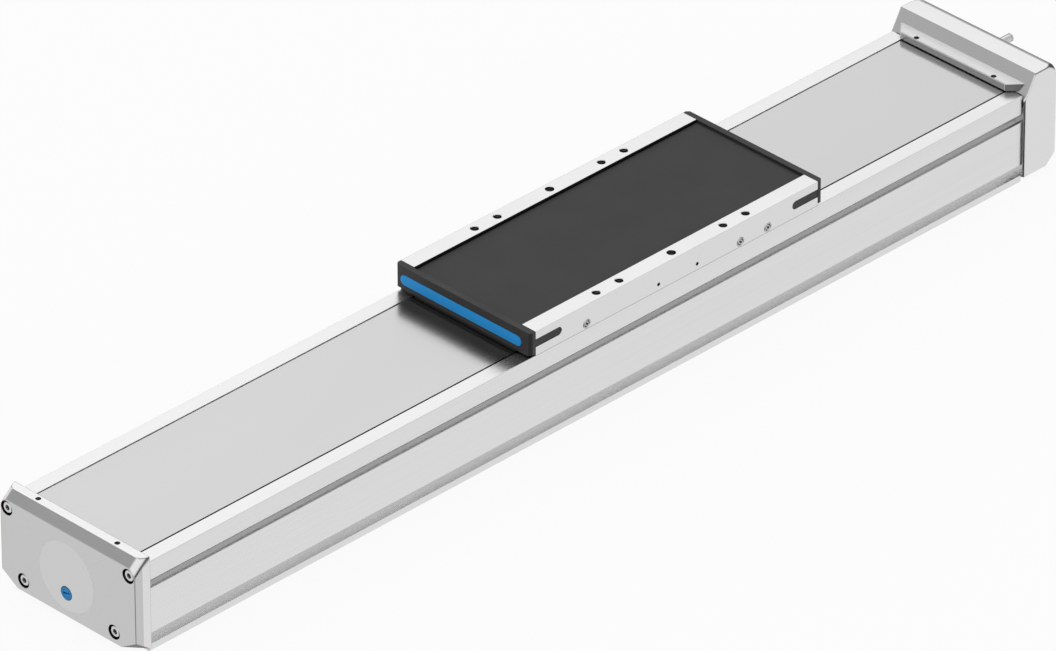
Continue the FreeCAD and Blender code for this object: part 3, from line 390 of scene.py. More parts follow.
def makeFinish(name, colour, metal, smoothest, roughest, pattern, depth, bumpHeight):
    material = bpy.data.materials.new(name)
    material.use_nodes = True
    tree = material.node_tree
    shader = tree.nodes["Principled BSDF"].inputs
    place = Field(tree, tree.nodes.new("ShaderNodeTexCoord").outputs["Object"])
    group = tree.nodes.new("ShaderNodeGroup")
    group.node_tree = patterns[pattern]
    feed(place, group.inputs["Place"])
    feed(depth, group.inputs["Depth"])
    tone, height, gloss = (Field(tree, group.outputs[k]) for k in ("Tone", "Height", "Gloss"))
    # painted shade: the finish's shade function darkens the tone
    if name in shades:
        tone = tone * shades[name](Spot(place))
    tint = tree.nodes.new("ShaderNodeVectorMath")
    tint.operation = "SCALE"
    feed(colour if isinstance(colour, tuple) else (colour,) * 3, tint.inputs[0])
    feed(tone, tint.inputs["Scale"])
    feed(Field(tree, tint.outputs[0]), shader["Base Color"])
    feed(metals[name](Spot(place)) if name in metals else metal, shader["Metallic"])
    feed(gloss.ramp(0.3, 0.7, smoothest, roughest), shader["Roughness"])
    bump = tree.nodes.new("ShaderNodeBump")
    feed(bumpHeight * 1e-6, bump.inputs["Distance"])
    feed(1.0, bump.inputs["Strength"])
    feed(height, bump.inputs["Height"])
    feed(Field(tree, bump.outputs["Normal"]), shader["Normal"])
    return material


materials = {name: makeFinish(name, *values) for name, values in finishes.items()}
for name, obj in nodes.items():
    obj.data.materials.clear()
    obj.data.materials.append(materials[slotOfNode[name]])
print("finishes made:", len(materials))


# shapes
def gridFaces(rows, columns, closedRows, closedColumns):
    # quads between neighbouring rows and columns; point (i, j) is number i * columns + j
    i = np.arange(rows if closedRows else rows - 1)
    j = np.arange(columns if closedColumns else columns - 1)
    i, j = np.meshgrid(i, j, indexing="ij")
    nextI, nextJ = (i + 1) % rows, (j + 1) % columns
    quads = np.stack([i * columns + j, nextI * columns + j, nextI * columns + nextJ, i * columns + nextJ], -1)
    return quads.reshape(-1, 4).tolist()


def makeMesh(name, parts, smoothAngle=35):
    # parts: (points n x 3 in mm, list of faces); the faces of each are renumbered and turned outwards
    points, faces, count = [], [], 0
    for partPoints, partFaces in parts:
        points.append(np.asarray(partPoints, float).reshape(-1, 3))
        faces += [[int(k) + count for k in f] for f in partFaces]
        count += len(points[-1])
    mesh = bpy.data.meshes.new(name)
    mesh.from_pydata((np.concatenate(points) * mm).tolist(), [], faces)
    work = bmesh.new()
    work.from_mesh(mesh)
    bmesh.ops.remove_doubles(work, verts=work.verts, dist=1e-6)
    bmesh.ops.recalc_face_normals(work, faces=work.faces)
    work.to_mesh(mesh)
    work.free()
    obj = bpy.data.objects.new(name, mesh)
    scene.collection.objects.link(obj)
    shadeByAngle(obj, smoothAngle)
    return obj


def shadeByAngle(obj, angle):
    # smooth faces, with sharp edges where neighbours lean more than the angle
    obj.data.shade_smooth()
    obj.data.set_sharp_from_angle(angle=math.radians(angle))


def capped(grid):
    # rows of points joined into a closed skin, with both ends filled
    rows, count = grid.shape[:2]
    last = (rows - 1) * count
    return grid, gridFaces(rows, count, False, True) + [list(range(count)), [last + k for k in range(count)]]


def loft(sections, xs):
    # closed sections of equally many (y, z) points at their own stations
    sections = np.asarray(sections, float)
    grid = np.empty(sections.shape[:2] + (3,))
    grid[:, :, 0] = np.asarray(xs, float)[:, None]
    grid[:, :, 1:] = sections
    return capped(grid)


def alongX(section, xs):
    # one closed section carried along X through the stations
    return loft([section] * len(xs), xs)


def acrossY(section, y0, y1):
    # a closed section of (x, z) points carried from y0 to y1
    section = np.asarray(section, float)
    grid = np.empty((2, len(section), 3))
    grid[:, :, 0], grid[:, :, 2] = section[:, 0], section[:, 1]
    grid[0, :, 1], grid[1, :, 1] = y0, y1
    return capped(grid)


def turned(profile, centre, axis, steps=48, lobes=None):
    # a closed profile of (distance along, radius) spun about an axis through centre;
    # lobes(angle) may scale the radius of single rows, as for a star or hexagon socket
    profile = np.asarray(profile, float)
    axis = np.asarray(axis, float)
    helper = np.array([0, 0, 1.0]) if abs(axis[2]) < 0.5 else np.array([1.0, 0, 0])
    side = np.cross(axis, helper)
    side /= np.linalg.norm(side)
    other = np.cross(axis, side)
    angle = np.linspace(0, 2 * np.pi, steps, endpoint=False)
    radius = np.repeat(profile[:, 1][:, None], steps, 1)
    if lobes is not None:
        radius = radius * lobes(angle)
    ring = np.cos(angle)[:, None] * side + np.sin(angle)[:, None] * other
    grid = np.asarray(centre, float) + profile[:, 0][:, None, None] * axis + radius[:, :, None] * ring[None]
    closed = profile[0, 1] > 0 and profile[-1, 1] > 0
    return grid, gridFaces(len(profile), steps, closed, True)


def bore(*numbers):
    # stepped hole for turned(): place, radius, place, radius, ..., place
    places, radii = numbers[::2], numbers[1::2]
    steps = [(x, r) for start, end, r in zip(places, places[1:], radii) for x in (start, end)]
    return [(places[0], 0)] + steps + [(places[-1], 0)]


def boxPart(x0, x1, y0, y1, z0, z1):
    # a block, from its lowest to its highest x, y and z
    return alongX([(y0, z0), (y1, z0), (y1, z1), (y0, z1)], [x0, x1])


def keepResult(obj):
    # the modifiers' result becomes the mesh
    bpy.context.view_layer.update()
    ready = obj.evaluated_get(bpy.context.evaluated_depsgraph_get())
    mesh = bpy.data.meshes.new_from_object(ready)
    obj.modifiers.clear()
    obj.data = mesh


def carve(obj, parts):
    # cuts closed shapes out of a piece
    cutter = makeMesh("cutter", parts)
    step = obj.modifiers.new("carve", "BOOLEAN")
    step.operation = "DIFFERENCE"
    step.solver = "EXACT"
    step.use_self = True
    step.object = cutter
    keepResult(obj)
    bpy.data.objects.remove(cutter)


def addBevel(obj, width, angle):
    edge = obj.modifiers.new("edge", "BEVEL")
    edge.width = width * mm
    edge.segments = 2
    edge.limit_method = "ANGLE"
    edge.angle_limit = math.radians(angle)
    edge.use_clamp_overlap = False
    edge.miter_outer = "MITER_ARC"


def soften(obj, width):
    # small rounded edges, with the flat faces kept flat
    obj.data.shade_smooth()
    addBevel(obj, width, 28)
    flat = obj.modifiers.new("flat", "WEIGHTED_NORMAL")
    flat.keep_sharp = False
    flat.weight = 90


def crisp(obj, width):
    # small rounded edges kept as mesh
    addBevel(obj, width, 24)
    keepResult(obj)


def faceNormals(obj, angle=35):
    # each face corner looks along the sum of the normals of the faces at its point that lean less than the
    # angle from its own face, times their areas squared: flats stay flat and sharp rims stay sharp
    mesh = obj.data
    mesh.shade_smooth()
    normals, areas = np.empty(len(mesh.polygons) * 3), np.empty(len(mesh.polygons))
    sizes, points = np.empty(len(mesh.polygons), int), np.empty(len(mesh.loops), int)
    mesh.polygons.foreach_get("normal", normals)
    mesh.polygons.foreach_get("area", areas)
    mesh.polygons.foreach_get("loop_total", sizes)
    mesh.loops.foreach_get("vertex_index", points)
    face = np.repeat(np.arange(len(sizes)), sizes)
    normals = normals.reshape(-1, 3)
    order = np.argsort(points, kind="stable")
    counts = np.bincount(points, minlength=len(mesh.vertices))
    starts = np.cumsum(counts) - counts
    around = np.full((len(counts), counts.max()), -1)
    around[points[order], np.arange(len(order)) - starts[points[order]]] = order
    near = around[points]
    others = normals[face[near]]
    close = (near >= 0) & (np.einsum("ijk,ik->ij", others, normals[face]) > math.cos(math.radians(angle)))
    weight = close * (areas[face[near]] / mm ** 2) ** 2
    total = (others * weight[:, :, None]).sum(1)
    total /= np.linalg.norm(total, axis=1)[:, None] + 1e-12
    mesh.normals_split_custom_set(total.tolist())


def cutOff(obj, planes):
    # removes what lies beyond each plane (three places on it and a place beyond it) and closes the cut
    work = bmesh.new()
    work.from_mesh(obj.data)
    for a, b, c, beyond in planes:
        normal = np.cross(np.subtract(b, a), np.subtract(c, a))
        normal = normal * np.sign(normal @ np.subtract(beyond, a))
        cut = bmesh.ops.bisect_plane(work, geom=work.verts[:] + work.edges[:] + work.faces[:], dist=1e-7,
                                     plane_co=Vector(a) * mm, plane_no=Vector(normal), clear_outer=True)
        bmesh.ops.holes_fill(work, edges=[e for e in cut["geom_cut"] if isinstance(e, bmesh.types.BMEdge)])
    bmesh.ops.recalc_face_normals(work, faces=work.faces)
    work.to_mesh(obj.data)
    work.free()


def camelName(node):
    # slide_body becomes slideBody
    first, *words = node.split("_")
    return first + "".join(word.capitalize() for word in words)


def copyOfNode(node):
    # the CAD solid as one joined surface of flat polygons, ready for carving and softening
    name = camelName(node)
    mesh = nodes[node].data.copy()
    mesh.name = name
    for layer in [a.name for a in mesh.attributes if a.name == "custom_normal"]:
        mesh.attributes.remove(mesh.attributes[layer])
    work = bmesh.new()
    work.from_mesh(mesh)
    for edge in work.edges:
        edge.smooth = True
    bmesh.ops.remove_doubles(work, verts=work.verts, dist=4e-6)
    bmesh.ops.dissolve_limit(work, angle_limit=math.radians(0.7), verts=work.verts, edges=work.edges)
    work.to_mesh(mesh)
    work.free()
    obj = bpy.data.objects.new(name, mesh)
    scene.collection.objects.link(obj)
    return obj


def settle(obj, body, finish, *replaced, slot=None):
    # gives a piece its finish and the body that it rides on, and hides the CAD nodes that it stands for
    obj.data.materials.clear()
    obj.data.materials.append(materials[finish])
    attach(obj, body)
    if replaced:
        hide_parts(*replaced)


# extruded profile
profilePlan = {"halfLength": 516.5, "halfWidth": 77.25, "height": 86.1, "slotZ": 64.0, "mouth": 8.0,
               "lip": 3.0, "edge": 0.22}


def makeProfile(plan):
    # half the section, round from the underside: base slot, clamp groove, side slot, band seat, chamber
    w, h, z, m, lip = plan["halfWidth"], plan["height"], plan["slotZ"], plan["mouth"] / 2, plan["lip"]
    half = [(0, 0), (36, 0), (36, 3), (32.5, 3), (32.5, 6), (35.5, 9), (44.5, 9), (47.5, 6), (47.5, 3),
            (44, 3), (44, 0), (w - 0.5, 0), (w, 0.5), (w, 6.5), (w - 7.5, 6.5), (w - 7.5, 19.5),
            (w - 4.1, 19.5), (w - 2.6, 16.9), (w, 16.9), (w, z - m), (w - lip, z - m), (w - lip, z - 7.5),
            (w - lip - 3, z - 7.5), (w - lip - 6, z - 4.5), (w - lip - 6, z + 4.5), (w - lip - 3, z + 7.5),
            (w - lip, z + 7.5), (w - lip, z + m), (w, z + m), (w, h - 0.5), (w - 0.5, h), (62.3, h),
            (62.3, 81.6), (60.4, 81.6), (60.4, 84.6), (58.2, 84.6), (58.2, 82.5), (51.8, 82.5), (51.8, 84.6),
            (50, 84.6), (50, 78), (62, 78), (62, 32), (25, 32), (25, 12), (0, 12)]
    mirrored = [(-y, z) for y, z in reversed(half)]
    piece = makeMesh("extrudedProfile", [alongX(half + mirrored, [-plan["halfLength"], plan["halfLength"]])])
    soften(piece, plan["edge"])
    return piece


settle(makeProfile(profilePlan), "frame", "anodised_profile", "profile")
print("profile made")


# steel cover band
bandPlan = {"halfWidth": 60.8, "z": 84.75, "thick": 1.2, "edge": 0.12, "near": -527.0, "far": 516.2,
            "liftedHalfWidth": 60.25, "liftedZ": 84.7, "liftedThick": 0.4, "rampStart": 165.0,
            "rampLength": 45.0, "lift": 14.0, "clear": 2.0}


def makeBandStrip(plan):
    w, z, t, e = plan["halfWidth"], plan["z"], plan["thick"], plan["edge"]
    section = [(-w, z), (w, z), (w, z + t - e), (w - e, z + t), (-w + e, z + t), (-w, z + t - e)]
    return makeMesh("coverBand", [alongX(section, [plan["near"], plan["far"]])])


def makeLiftedBand(plan):
    # one ramp is an S of two equal arcs: z rises with the first arc and levels out with the second
    run, rise = plan["rampLength"], plan["lift"]
    radius = (run * run + rise * rise) / (4 * rise)
    u = np.linspace(0, run, 24)
    arc = radius - np.sqrt(radius ** 2 - np.minimum(u, run - u) ** 2)
    z = np.where(u < run / 2, arc, rise - arc)
    seen = z > plan["clear"]  # the ramps' feet would dip into the flat strip
    x, z = (slideX - plan["rampStart"] + u)[seen], z[seen] + plan["liftedZ"]
    x, z = np.concatenate([x, 2 * slideX - x[::-1]]), np.concatenate([z, z[::-1]])
    section = np.concatenate([np.stack([x, z], 1), np.stack([x, z + plan["liftedThick"]], 1)[::-1]])
    return makeMesh("liftedBand", [acrossY(section, -plan["liftedHalfWidth"], plan["liftedHalfWidth"])])


settle(makeBandStrip(bandPlan), "frame", "band_steel", "cover_band")
settle(makeLiftedBand(bandPlan), "slide", "band_steel", "cover_band")
print("cover band made")


# screws
def capScrew(place, axis, reach, plan):
    # socket head: rounded rim, shallow dished face, star socket with a conical floor, plain shank;
    # the star's radius swells and shrinks with the cosine of six times the angle
    r, h, s, d, c = (plan[k] for k in ("headRadius", "headHeight", "socket", "socketDepth", "coreRadius"))
    rows = [(d + 0.7, 0), (d, s * 0.82), (d * 0.5, s * 0.98), (0.35, s), (0.0, s + 0.4), (0.0, r - 1.0),
            (0.15, r - 0.5), (0.55, r - 0.12), (1.1, r), (h - 0.15, r), (h, r - 0.15), (h, c),
            (h + reach - 1, c), (h + reach, c - 0.7), (h + reach, 0)]
    starred = np.isin(np.arange(len(rows)), (1, 2, 3))[:, None]
    return turned(rows, place, axis, 60, lambda angle: np.where(starred, 1 + 0.13 * np.cos(6 * angle), 1.0))


for node in ("near_cap_screws", "housing_screws"):
    x, direction, reach = screwPlan[node]
    capScrews = [capScrew((x, y, z), (direction, 0, 0), reach, screwPlan) for y, z in screwPlan["places"]]
    settle(makeMesh(camelName(node), capScrews, 30), "frame", "bright_screw_steel", node, slot="screw_steel")

grubPlan = {"radius": 2.42, "height": 6.4, "socket": 1.25, "pitch": 0.8, "near": (-521.3, 46.9, 85.6),
            "far": (513.8, 45.7, 85.6)}


def grubScrew(x, y, z, plan):
    # headless screw seen from above: threaded flank as small steps, hexagon socket in its top;
    # the hexagon's radius is the flat distance over the cosine of the angle to the nearest flat
    r, h, s, p = plan["radius"], plan["height"], plan["socket"], plan["pitch"]
    turns = range(int(h / p) - 1)
    flank = [(0.4 + p * k + step, r - dip) for k in turns for step, dip in ((0, 0), (0.4, 0.3))]
    rows = [(0, 0), (0, r - 0.4)] + flank + [(h - 0.3, r), (h, r - 0.3), (h, s * 1.2), (h - 0.1, s),
                                             (h - 2.4, s * 0.95), (h - 3.0, 0)]
    flats = np.isin(np.arange(len(rows)), (len(rows) - 3, len(rows) - 2))[:, None]
    return turned(rows, (x, y, z), zAxis, 36, lambda angle: np.where(
        flats, 1 / np.cos((angle + np.pi / 6) % (np.pi / 3) - np.pi / 6), 1.0))


for end in ("near", "far"):
    x, y, z = grubPlan[end]
    grubs = makeMesh(end + "BandGrubs", [grubScrew(x, side * y, z, grubPlan) for side in (-1, 1)], 30)
    settle(grubs, "frame", "black_screw_steel", end + "_band_grub_screws")
print("screws made")


# end pieces: a hole is (place and radius in turn along X, the y and z of its middle lines, steps round it)
def holesAlongX(holes):
    return [turned(bore(*numbers), (0, y, z), xAxis, steps)
            for numbers, lines, steps in holes for y, z in lines]


capPlan = {"front": -533.5, "ridge": -525.4, "rear": -516.5, "halfWidth": 80.5, "frontHalfWidth": 79.9,
           "bottom": 4.9, "top": 93.4, "frontTop": 86.3, "round": 8.8, "edge": 0.65, "strip": 0.4,
           "footCut": ((-533.51, 60.3, 4.3), (-533.51, 81.2, 17.1), (-516.5, 81.2, 4.3)),
           "screwHoles": ((-540, screwPlan["wellRadius"], -527.3, 3.2, -510), screwPlan["places"], 64),
           "bearingSeat": ((-527.5, 9, -524.5, 14, -510), [(0, shaftZ)], 64),
           "studHoles": ((-522.5, 2.5, -510), stopLines, 32), "plugSeat": ((-540, 6.5, -527.5), [plugAt], 64),
           "bandRecess": (-527.2, -510, -61.2, 61.2, 84.7, 86.4), "grubHole": (85.7, 2.5, 97),
           "relief": ((-528.5, 1.6, -510), [(2.4, 23.5)], 24),
           "discSeat": ((-540, 32.55, -532.7), [discAt], 144)}


def roundedSection(w, bottom, h, across, down, steps=24, cut=0.0):
    # outline of a block: flat bottom with small cut corners, upright sides, both upper corners rounded as
    # quarters of an ellipse with the half axes across and down
    a = np.linspace(0, np.pi / 2, steps)
    corner = np.stack([w - across + across * np.cos(a), h - down + down * np.sin(a)], 1)
    foot = [(-w + cut, bottom), (w - cut, bottom)]
    if cut:
        foot = [(-w, bottom + cut)] + foot + [(w, bottom + cut)]
    return np.concatenate([foot, corner, corner[::-1] * (-1, 1)])


def cornerDrop(distance, radius):
    # how far a rounded edge falls behind the flat at a distance from the end face: radius less arc height
    into = np.clip(radius - distance, 0, radius)
    return radius - np.sqrt(radius ** 2 - into ** 2)


def knee(x, at, half, before, after):
    # a parabola joins two slopes over half to both sides of their meeting place; returns the height above it
    t = x - at
    bent = before * t + (after - before) * (t + half) ** 2 / (4 * half)
    return np.where(t < -half, before * t, np.where(t > half, after * t, bent))


def cutCorners(piece, places):
    # both lower corners fall to the same slanted plane and its mirror image
    planes = []
    for side in (-1, 1):
        flip = np.array([1, side, 1])
        planes.append(tuple(np.array(p) * flip for p in places) + (np.array([places[0][0], 90, -5]) * flip,))
    cutOff(piece, planes)


def makeNearCap(plan):
    # the slanted edge's rounding is a round bar lying along the slant: upright sections through it are
    # ellipses, as high as the radius over the slant's share of run; the flat top is cut off afterwards
    front, ridge, rear, top, w = (plan[k] for k in ("front", "ridge", "rear", "top", "halfWidth"))
    run, rise = ridge - front, top - plan["frontTop"]
    down = plan["round"] * math.hypot(run, rise) / run
    heights = [plan["frontTop"] + (x - front) * rise / run for x in (front, rear)]
    piece = makeMesh("nearEndCap", [loft([roundedSection(w, plan["bottom"], h, plan["round"], down)
                                          for h in heights], [front, rear])])
    cutOff(piece, [((0, 0, top), (1, 0, top), (0, 1, top), (0, 0, top + 1))])
    narrow, strip = plan["frontHalfWidth"], plan["strip"]
    lean = (w - narrow) / run
    for side in (-1, 1):
        # the side leans in towards the front; the second cut takes the edge off with half the lean
        outside = side * 99
        a = (ridge, side * w, 0)
        b = (ridge - strip, side * (w - strip * lean), 0)
        cutOff(piece, [(a, (a[0], a[1], 9), (front, side * narrow, 0), (front, outside, 0)),
                       (b, (b[0], b[1], 9), (b[0] + 10, b[1] + side * 5 * lean, 0), (b[0], outside, 0))])
    cutCorners(piece, plan["footCut"])
    crisp(piece, plan["edge"])
    carve(piece, holesAlongX(plan[k] for k in ("screwHoles", "bearingSeat", "studHoles", "plugSeat")))
    carve(piece, [boxPart(*plan["bandRecess"])] + holesAlongX([plan["relief"]]))
    x, y = grubPlan["near"][:2]
    carve(piece, [turned(bore(*plan["grubHole"]), (x, side * y, 0), zAxis, 40) for side in (-1, 1)])
    carve(piece, holesAlongX([plan["discSeat"]]))
    faceNormals(piece)
    return piece


settle(makeNearCap(capPlan), "frame", "anodised_ends", "near_end_cap")

housingPlan = {"front": 516.5, "step": 519.5, "ridge": 529.8, "rear": 558.5, "halfWidth": 80.3, "bottom": 4.9,
               "frontTop": 86.14, "top": 104.0, "rearRound": 10.7, "sideRound": 5.0, "frontRound": 2.2,
               "topRound": 1.4, "cornerRound": 8.0, "cornerFrom": 542.7, "cornerStart": 0.3,
               "cornerPower": 0.7, "edge": 0.4, "frontEdge": 0.1,
               "footCut": ((558.51, 60.3, 4.3), (558.51, 81.2, 18.0), (542.9, 81.2, 4.3)),
               "screwHoles": ((510, 3.2, 530.3, screwPlan["wellRadius"], 570), screwPlan["places"], 64),
               "bearingSeat": ((510, 13.6, 520.5, 17.5, 542.5, 24, 555.5, 30, 570), [(0, shaftZ)], 96),
               "fittingSeat": ((550.5, 2.5, 557.3, 4.6, 570), [fittingAt], 48),
               "motorHoles": ((544.5, 2.5, 570), [(y, z) for y in (-28, 28) for z in (16, 72)], 40),
               "studHoles": ((510, 2.5, 522.5), stopLines, 32), "barSlot": (519, 528, -40, 40, 88.5, 91.5)}


def makeHousing(plan):
    # sections along X: height follows the slant, the top and the rear arc; the width shrinks over the upright
    # edges; the upper corners' radius grows towards the rear
    front, rear, big, side, low = (plan[k] for k in ("front", "rear", "rearRound", "sideRound", "frontRound"))
    quarter = np.linspace(0, np.pi / 2, 17)
    half = plan["edge"]
    bend = np.linspace(-half, half, 5)
    xs = np.concatenate([front + half * (1 - np.cos(quarter[::4])), front + low * (1 - np.cos(quarter[::2])),
                         plan["step"] + bend, plan["ridge"] + bend, [plan["cornerFrom"]],
                         rear - big + big * np.sin(quarter), rear - side + side * np.sin(quarter[1:])])
    xs = np.unique(np.round(xs, 3))
    xs = xs[np.concatenate([[True], np.diff(xs) > 0.02])]
    xs[-1] = rear
    slope = (plan["top"] - plan["frontTop"]) / (plan["ridge"] - plan["step"])
    height = np.minimum(plan["frontTop"] + knee(xs, plan["step"], half, 0, slope),
                        plan["top"] + knee(xs, plan["ridge"], half, slope, 0))
    height = height - cornerDrop(rear - xs, big) - cornerDrop(xs - front, plan["frontEdge"])
    width = plan["halfWidth"] - cornerDrop(rear - xs, side) - cornerDrop(xs - front, low)
    foot = plan["bottom"] + cornerDrop(rear - xs, half) + cornerDrop(xs - front, half)
    share = np.clip((xs - plan["cornerFrom"]) / (rear - plan["cornerFrom"]), 0, 1) ** plan["cornerPower"]
    growth = plan["cornerRound"] - plan["cornerStart"]
    corner = np.maximum(plan["topRound"], plan["cornerStart"] + growth * share)
    piece = makeMesh("driveHousing", [loft([roundedSection(w, z, h, r, r, 13, half)
                                            for w, z, h, r in zip(width, foot, height, corner)], xs)])
    cutCorners(piece, plan["footCut"])
    holes = [plan[k] for k in ("screwHoles", "bearingSeat", "fittingSeat", "motorHoles", "studHoles")]
    carve(piece, holesAlongX(holes) + [boxPart(*plan["barSlot"])])
    faceNormals(piece)
    return piece


settle(makeHousing(housingPlan), "frame", "anodised_ends", "drive_housing")

barPlan = {"edge": 0.3}
bar = copyOfNode("band_clamp_bar")
crisp(bar, barPlan["edge"])
faceNormals(bar)
settle(bar, "frame", "anodised_bar", "band_clamp_bar", slot="anodised_ends")

discPlan = {"x": -533.53, "thick": 0.83, "radius": 32.5, "rim": 0.03, "plugHole": (-2, 6.6, 3)}


def makeDisc(plan):
    # flat disc with a small edge on its rim; the hole of the plug is cut out after
    x, t, r, rim = plan["x"], plan["thick"], plan["radius"], plan["rim"]
    rows = [(0, 0), (0, r - rim), (rim, r), (t, r), (t, 0)]
    disc = makeMesh("coverDisc", [turned(rows, (x, *discAt), xAxis, 144)], 50)
    carve(disc, [turned(bore(*plan["plugHole"]), (x, *plugAt), xAxis, 64)])
    faceNormals(disc)
    return disc


settle(makeDisc(discPlan), "frame", "anodised_disc", "cover_disc", slot="anodised_ends")

plugPlan = {"x": -533.7, "radius": 6.35, "length": 5.8, "slotHalf": 0.85, "slotDepth": 1.7, "turn": -15}


def makePlug(plan):
    # round plug with a rounded rim, a shallow ring and a screwdriver slot
    r, x, length = plan["radius"], plan["x"], plan["length"]
    rows = [(0.25, 0), (0.25, r * 0.60), (0.0, r * 0.66), (0, r - 0.5), (0.15, r - 0.15), (0.5, r),
            (length, r), (length, 0)]
    plug = makeMesh("reliefPlug", [turned(rows, (x, *plugAt), xAxis, 72)])
    a = math.radians(plan["turn"])
    reach, half = r * 0.62, plan["slotHalf"]
    corners = np.array([(-reach, -half), (reach, -half), (reach, half), (-reach, half)])
    turn = np.array([(math.cos(a), math.sin(a)), (-math.sin(a), math.cos(a))])
    carve(plug, [alongX(corners @ turn + plugAt, [x - 2, x + plan["slotDepth"]])])
    shadeByAngle(plug, 35)
    return plug


settle(makePlug(plugPlan), "frame", "blue_plug", "relief_plug", slot="blue_plastic")

fittingPlan = {"start": 550.5, "seat": 557.3, "face": 558.5, "end": 584.0, "radius": 3.8, "shank": 2.4,
               "bore": 1.5}


def makeFitting(plan):
    # tube stub: thin shank in the housing, plain round neck, one narrow groove before its rim, open bore
    start, seat, face, end = (plan[k] for k in ("start", "seat", "face", "end"))
    r, shank, hole = plan["radius"], plan["shank"], plan["bore"]
    rows = [(start, hole), (start, shank), (seat, shank), (seat, r - 0.2), (face + 0.2, r - 0.2),
            (face + 0.2, r), (end - 2.6, r), (end - 2.5, r - 0.35), (end - 1.7, r - 0.35), (end - 1.6, r),
            (end - 0.3, r), (end, r - 0.3), (end, 2.5), (end - 0.4, 2.1), (end - 0.4, hole)]
    return makeMesh("airFitting", [turned(rows, (0, *fittingAt), xAxis, 48)], 30)


settle(makeFitting(fittingPlan), "frame", "screw_steel", "air_fitting")
print("end pieces made")


# slide
def makeSlideBody(plan):
    # the CAD body with countersunk holes, and a slit that the flat band runs through
    piece = copyOfNode("slide_body")
    carve(piece, [boxPart(slideX - 200, slideX + 200, *plan["bandSlit"])])
    r, s = plan["holeRadius"], plan["sink"]
    cone = [(-s - 0.4, 0), (-s - 0.4, r - 0.02), (-s, r), (0.6, r + s + 0.6), (0.6, 0)]
    carve(piece, [turned(cone, (slideX + x, side * plan["holeY"], plan["top"]), zAxis, 40)
                  for x in plan["boltX"] for side in (-1, 1)])
    soften(piece, plan["edge"])
    return piece


settle(makeSlideBody(slidePlan), "slide", "anodised_slide", "slide_body", slot="anodised_ends")

coverPlan = {"edge": 0.35, "finishes": {"slide_cover": "cover_plastic", "slide_cap_near": "cap_plastic",
                                        "slide_cap_far": "cap_plastic"}}
for node, finish in coverPlan["finishes"].items():
    piece = copyOfNode(node)
    soften(piece, coverPlan["edge"])
    settle(piece, "slide", finish, node, slot="black_plastic")

insertPlan = {"fromMiddle": 174.5, "y": 2.4, "z": 99.2, "halfHeight": 4.9, "halfLength": 71.5, "proud": 0.3,
              "thick": 1.5}


def makeInsert(name, direction, plan):
    # long flat stadium: rings from a shrunk outline on the face, over a round rim, to the back
    r, thick = plan["halfHeight"], plan["thick"]
    straight = plan["halfLength"] - r
    angle = np.linspace(-np.pi / 2, np.pi / 2, 25)
    rings = []
    for inset, depth in ((r, 0), (0.5, 0), (0.15, 0.12), (0, 0.4), (0, thick), (r, thick)):
        y, z = straight + (r - inset) * np.cos(angle), (r - inset) * np.sin(angle)
        x = slideX - direction * plan["fromMiddle"] + direction * (depth - plan["proud"])
        rings.append(np.stack([np.full(50, x), np.concatenate([y, -y]) + plan["y"],
                               np.concatenate([z, -z]) + plan["z"]], 1))
    insert = makeMesh(name, [(np.stack(rings), gridFaces(len(rings), 50, False, True))], 40)
    insert.visible_glossy = False  # the band before it mirrors the plain dark cap
    return insert


settle(makeInsert("blueInsertNear", 1, insertPlan), "slide", "blue_plastic", "blue_insert_near")
settle(makeInsert("blueInsertFar", -1, insertPlan), "slide", "blue_plastic", "blue_insert_far")


def makeNipples(plan):
    # flush grease nipple: outer collar, ring groove, domed funnel with a ball seat
    r = plan["radius"]
    rows = [(-1.6, 0), (-1.1, 0.55), (0.25, 0.95), (0.35, 1.5), (0.1, 2.1), (-0.9, 2.4), (-0.9, 2.95),
            (0.05, 3.2), (0.3, 3.4), (0.3, r - 0.25), (0.05, r), (-6.9, r), (-6.9, 0)]
    places = [(slideX + x, side * plan["face"], plan["z"]) for side in (-1, 1) for x in plan["x"]]
    nipples = [turned(rows, place, (0, np.sign(place[1]), 0), 40) for place in places]
    return makeMesh("lubeNipples", nipples, 30)


settle(makeNipples(nipplePlan), "slide", "nipple_steel", "lube_nipples", slot="screw_steel")

threadPlan = {"pitch": 1.25, "root": 3.38, "crest": 3.08, "outside": 3.395, "depth": 16.4, "start": 1.1,
              "around": 28, "stations": 80}


def makeHoleThreads(plan):
    # screw surface: the radius runs up and down between root and crest with the depth less the turn's share
    # of the pitch
    around, root = plan["around"], plan["root"]
    angle = np.linspace(0, 2 * np.pi, around, endpoint=False)
    down = np.linspace(0, plan["depth"] - plan["start"], plan["stations"])
    phase = (down[:, None] / plan["pitch"] - angle[None] / (2 * np.pi)) % 1.0
    inner = root - (root - plan["crest"]) * np.abs(2 * phase - 1) * np.clip(down, 0, 1)[:, None]
    radius = np.concatenate([np.minimum(inner, root - 0.005), np.full((2, around), plan["outside"])])
    z = slidePlan["top"] - plan["start"] - np.concatenate([down, [down[-1], 0.0]])
    grid = np.stack([radius * np.cos(angle), radius * np.sin(angle), np.repeat(z[:, None], around, 1)], -1)
    faces = gridFaces(len(z), around, True, True)
    return makeMesh("slideHoleThreads", [(grid + (slideX + x, side * slidePlan["holeY"], 0), faces)
                                         for x in slidePlan["boltX"] for side in (-1, 1)], 60)


settle(makeHoleThreads(threadPlan), "slide", "anodised_slide", slot="anodised_ends")
print("slide made")


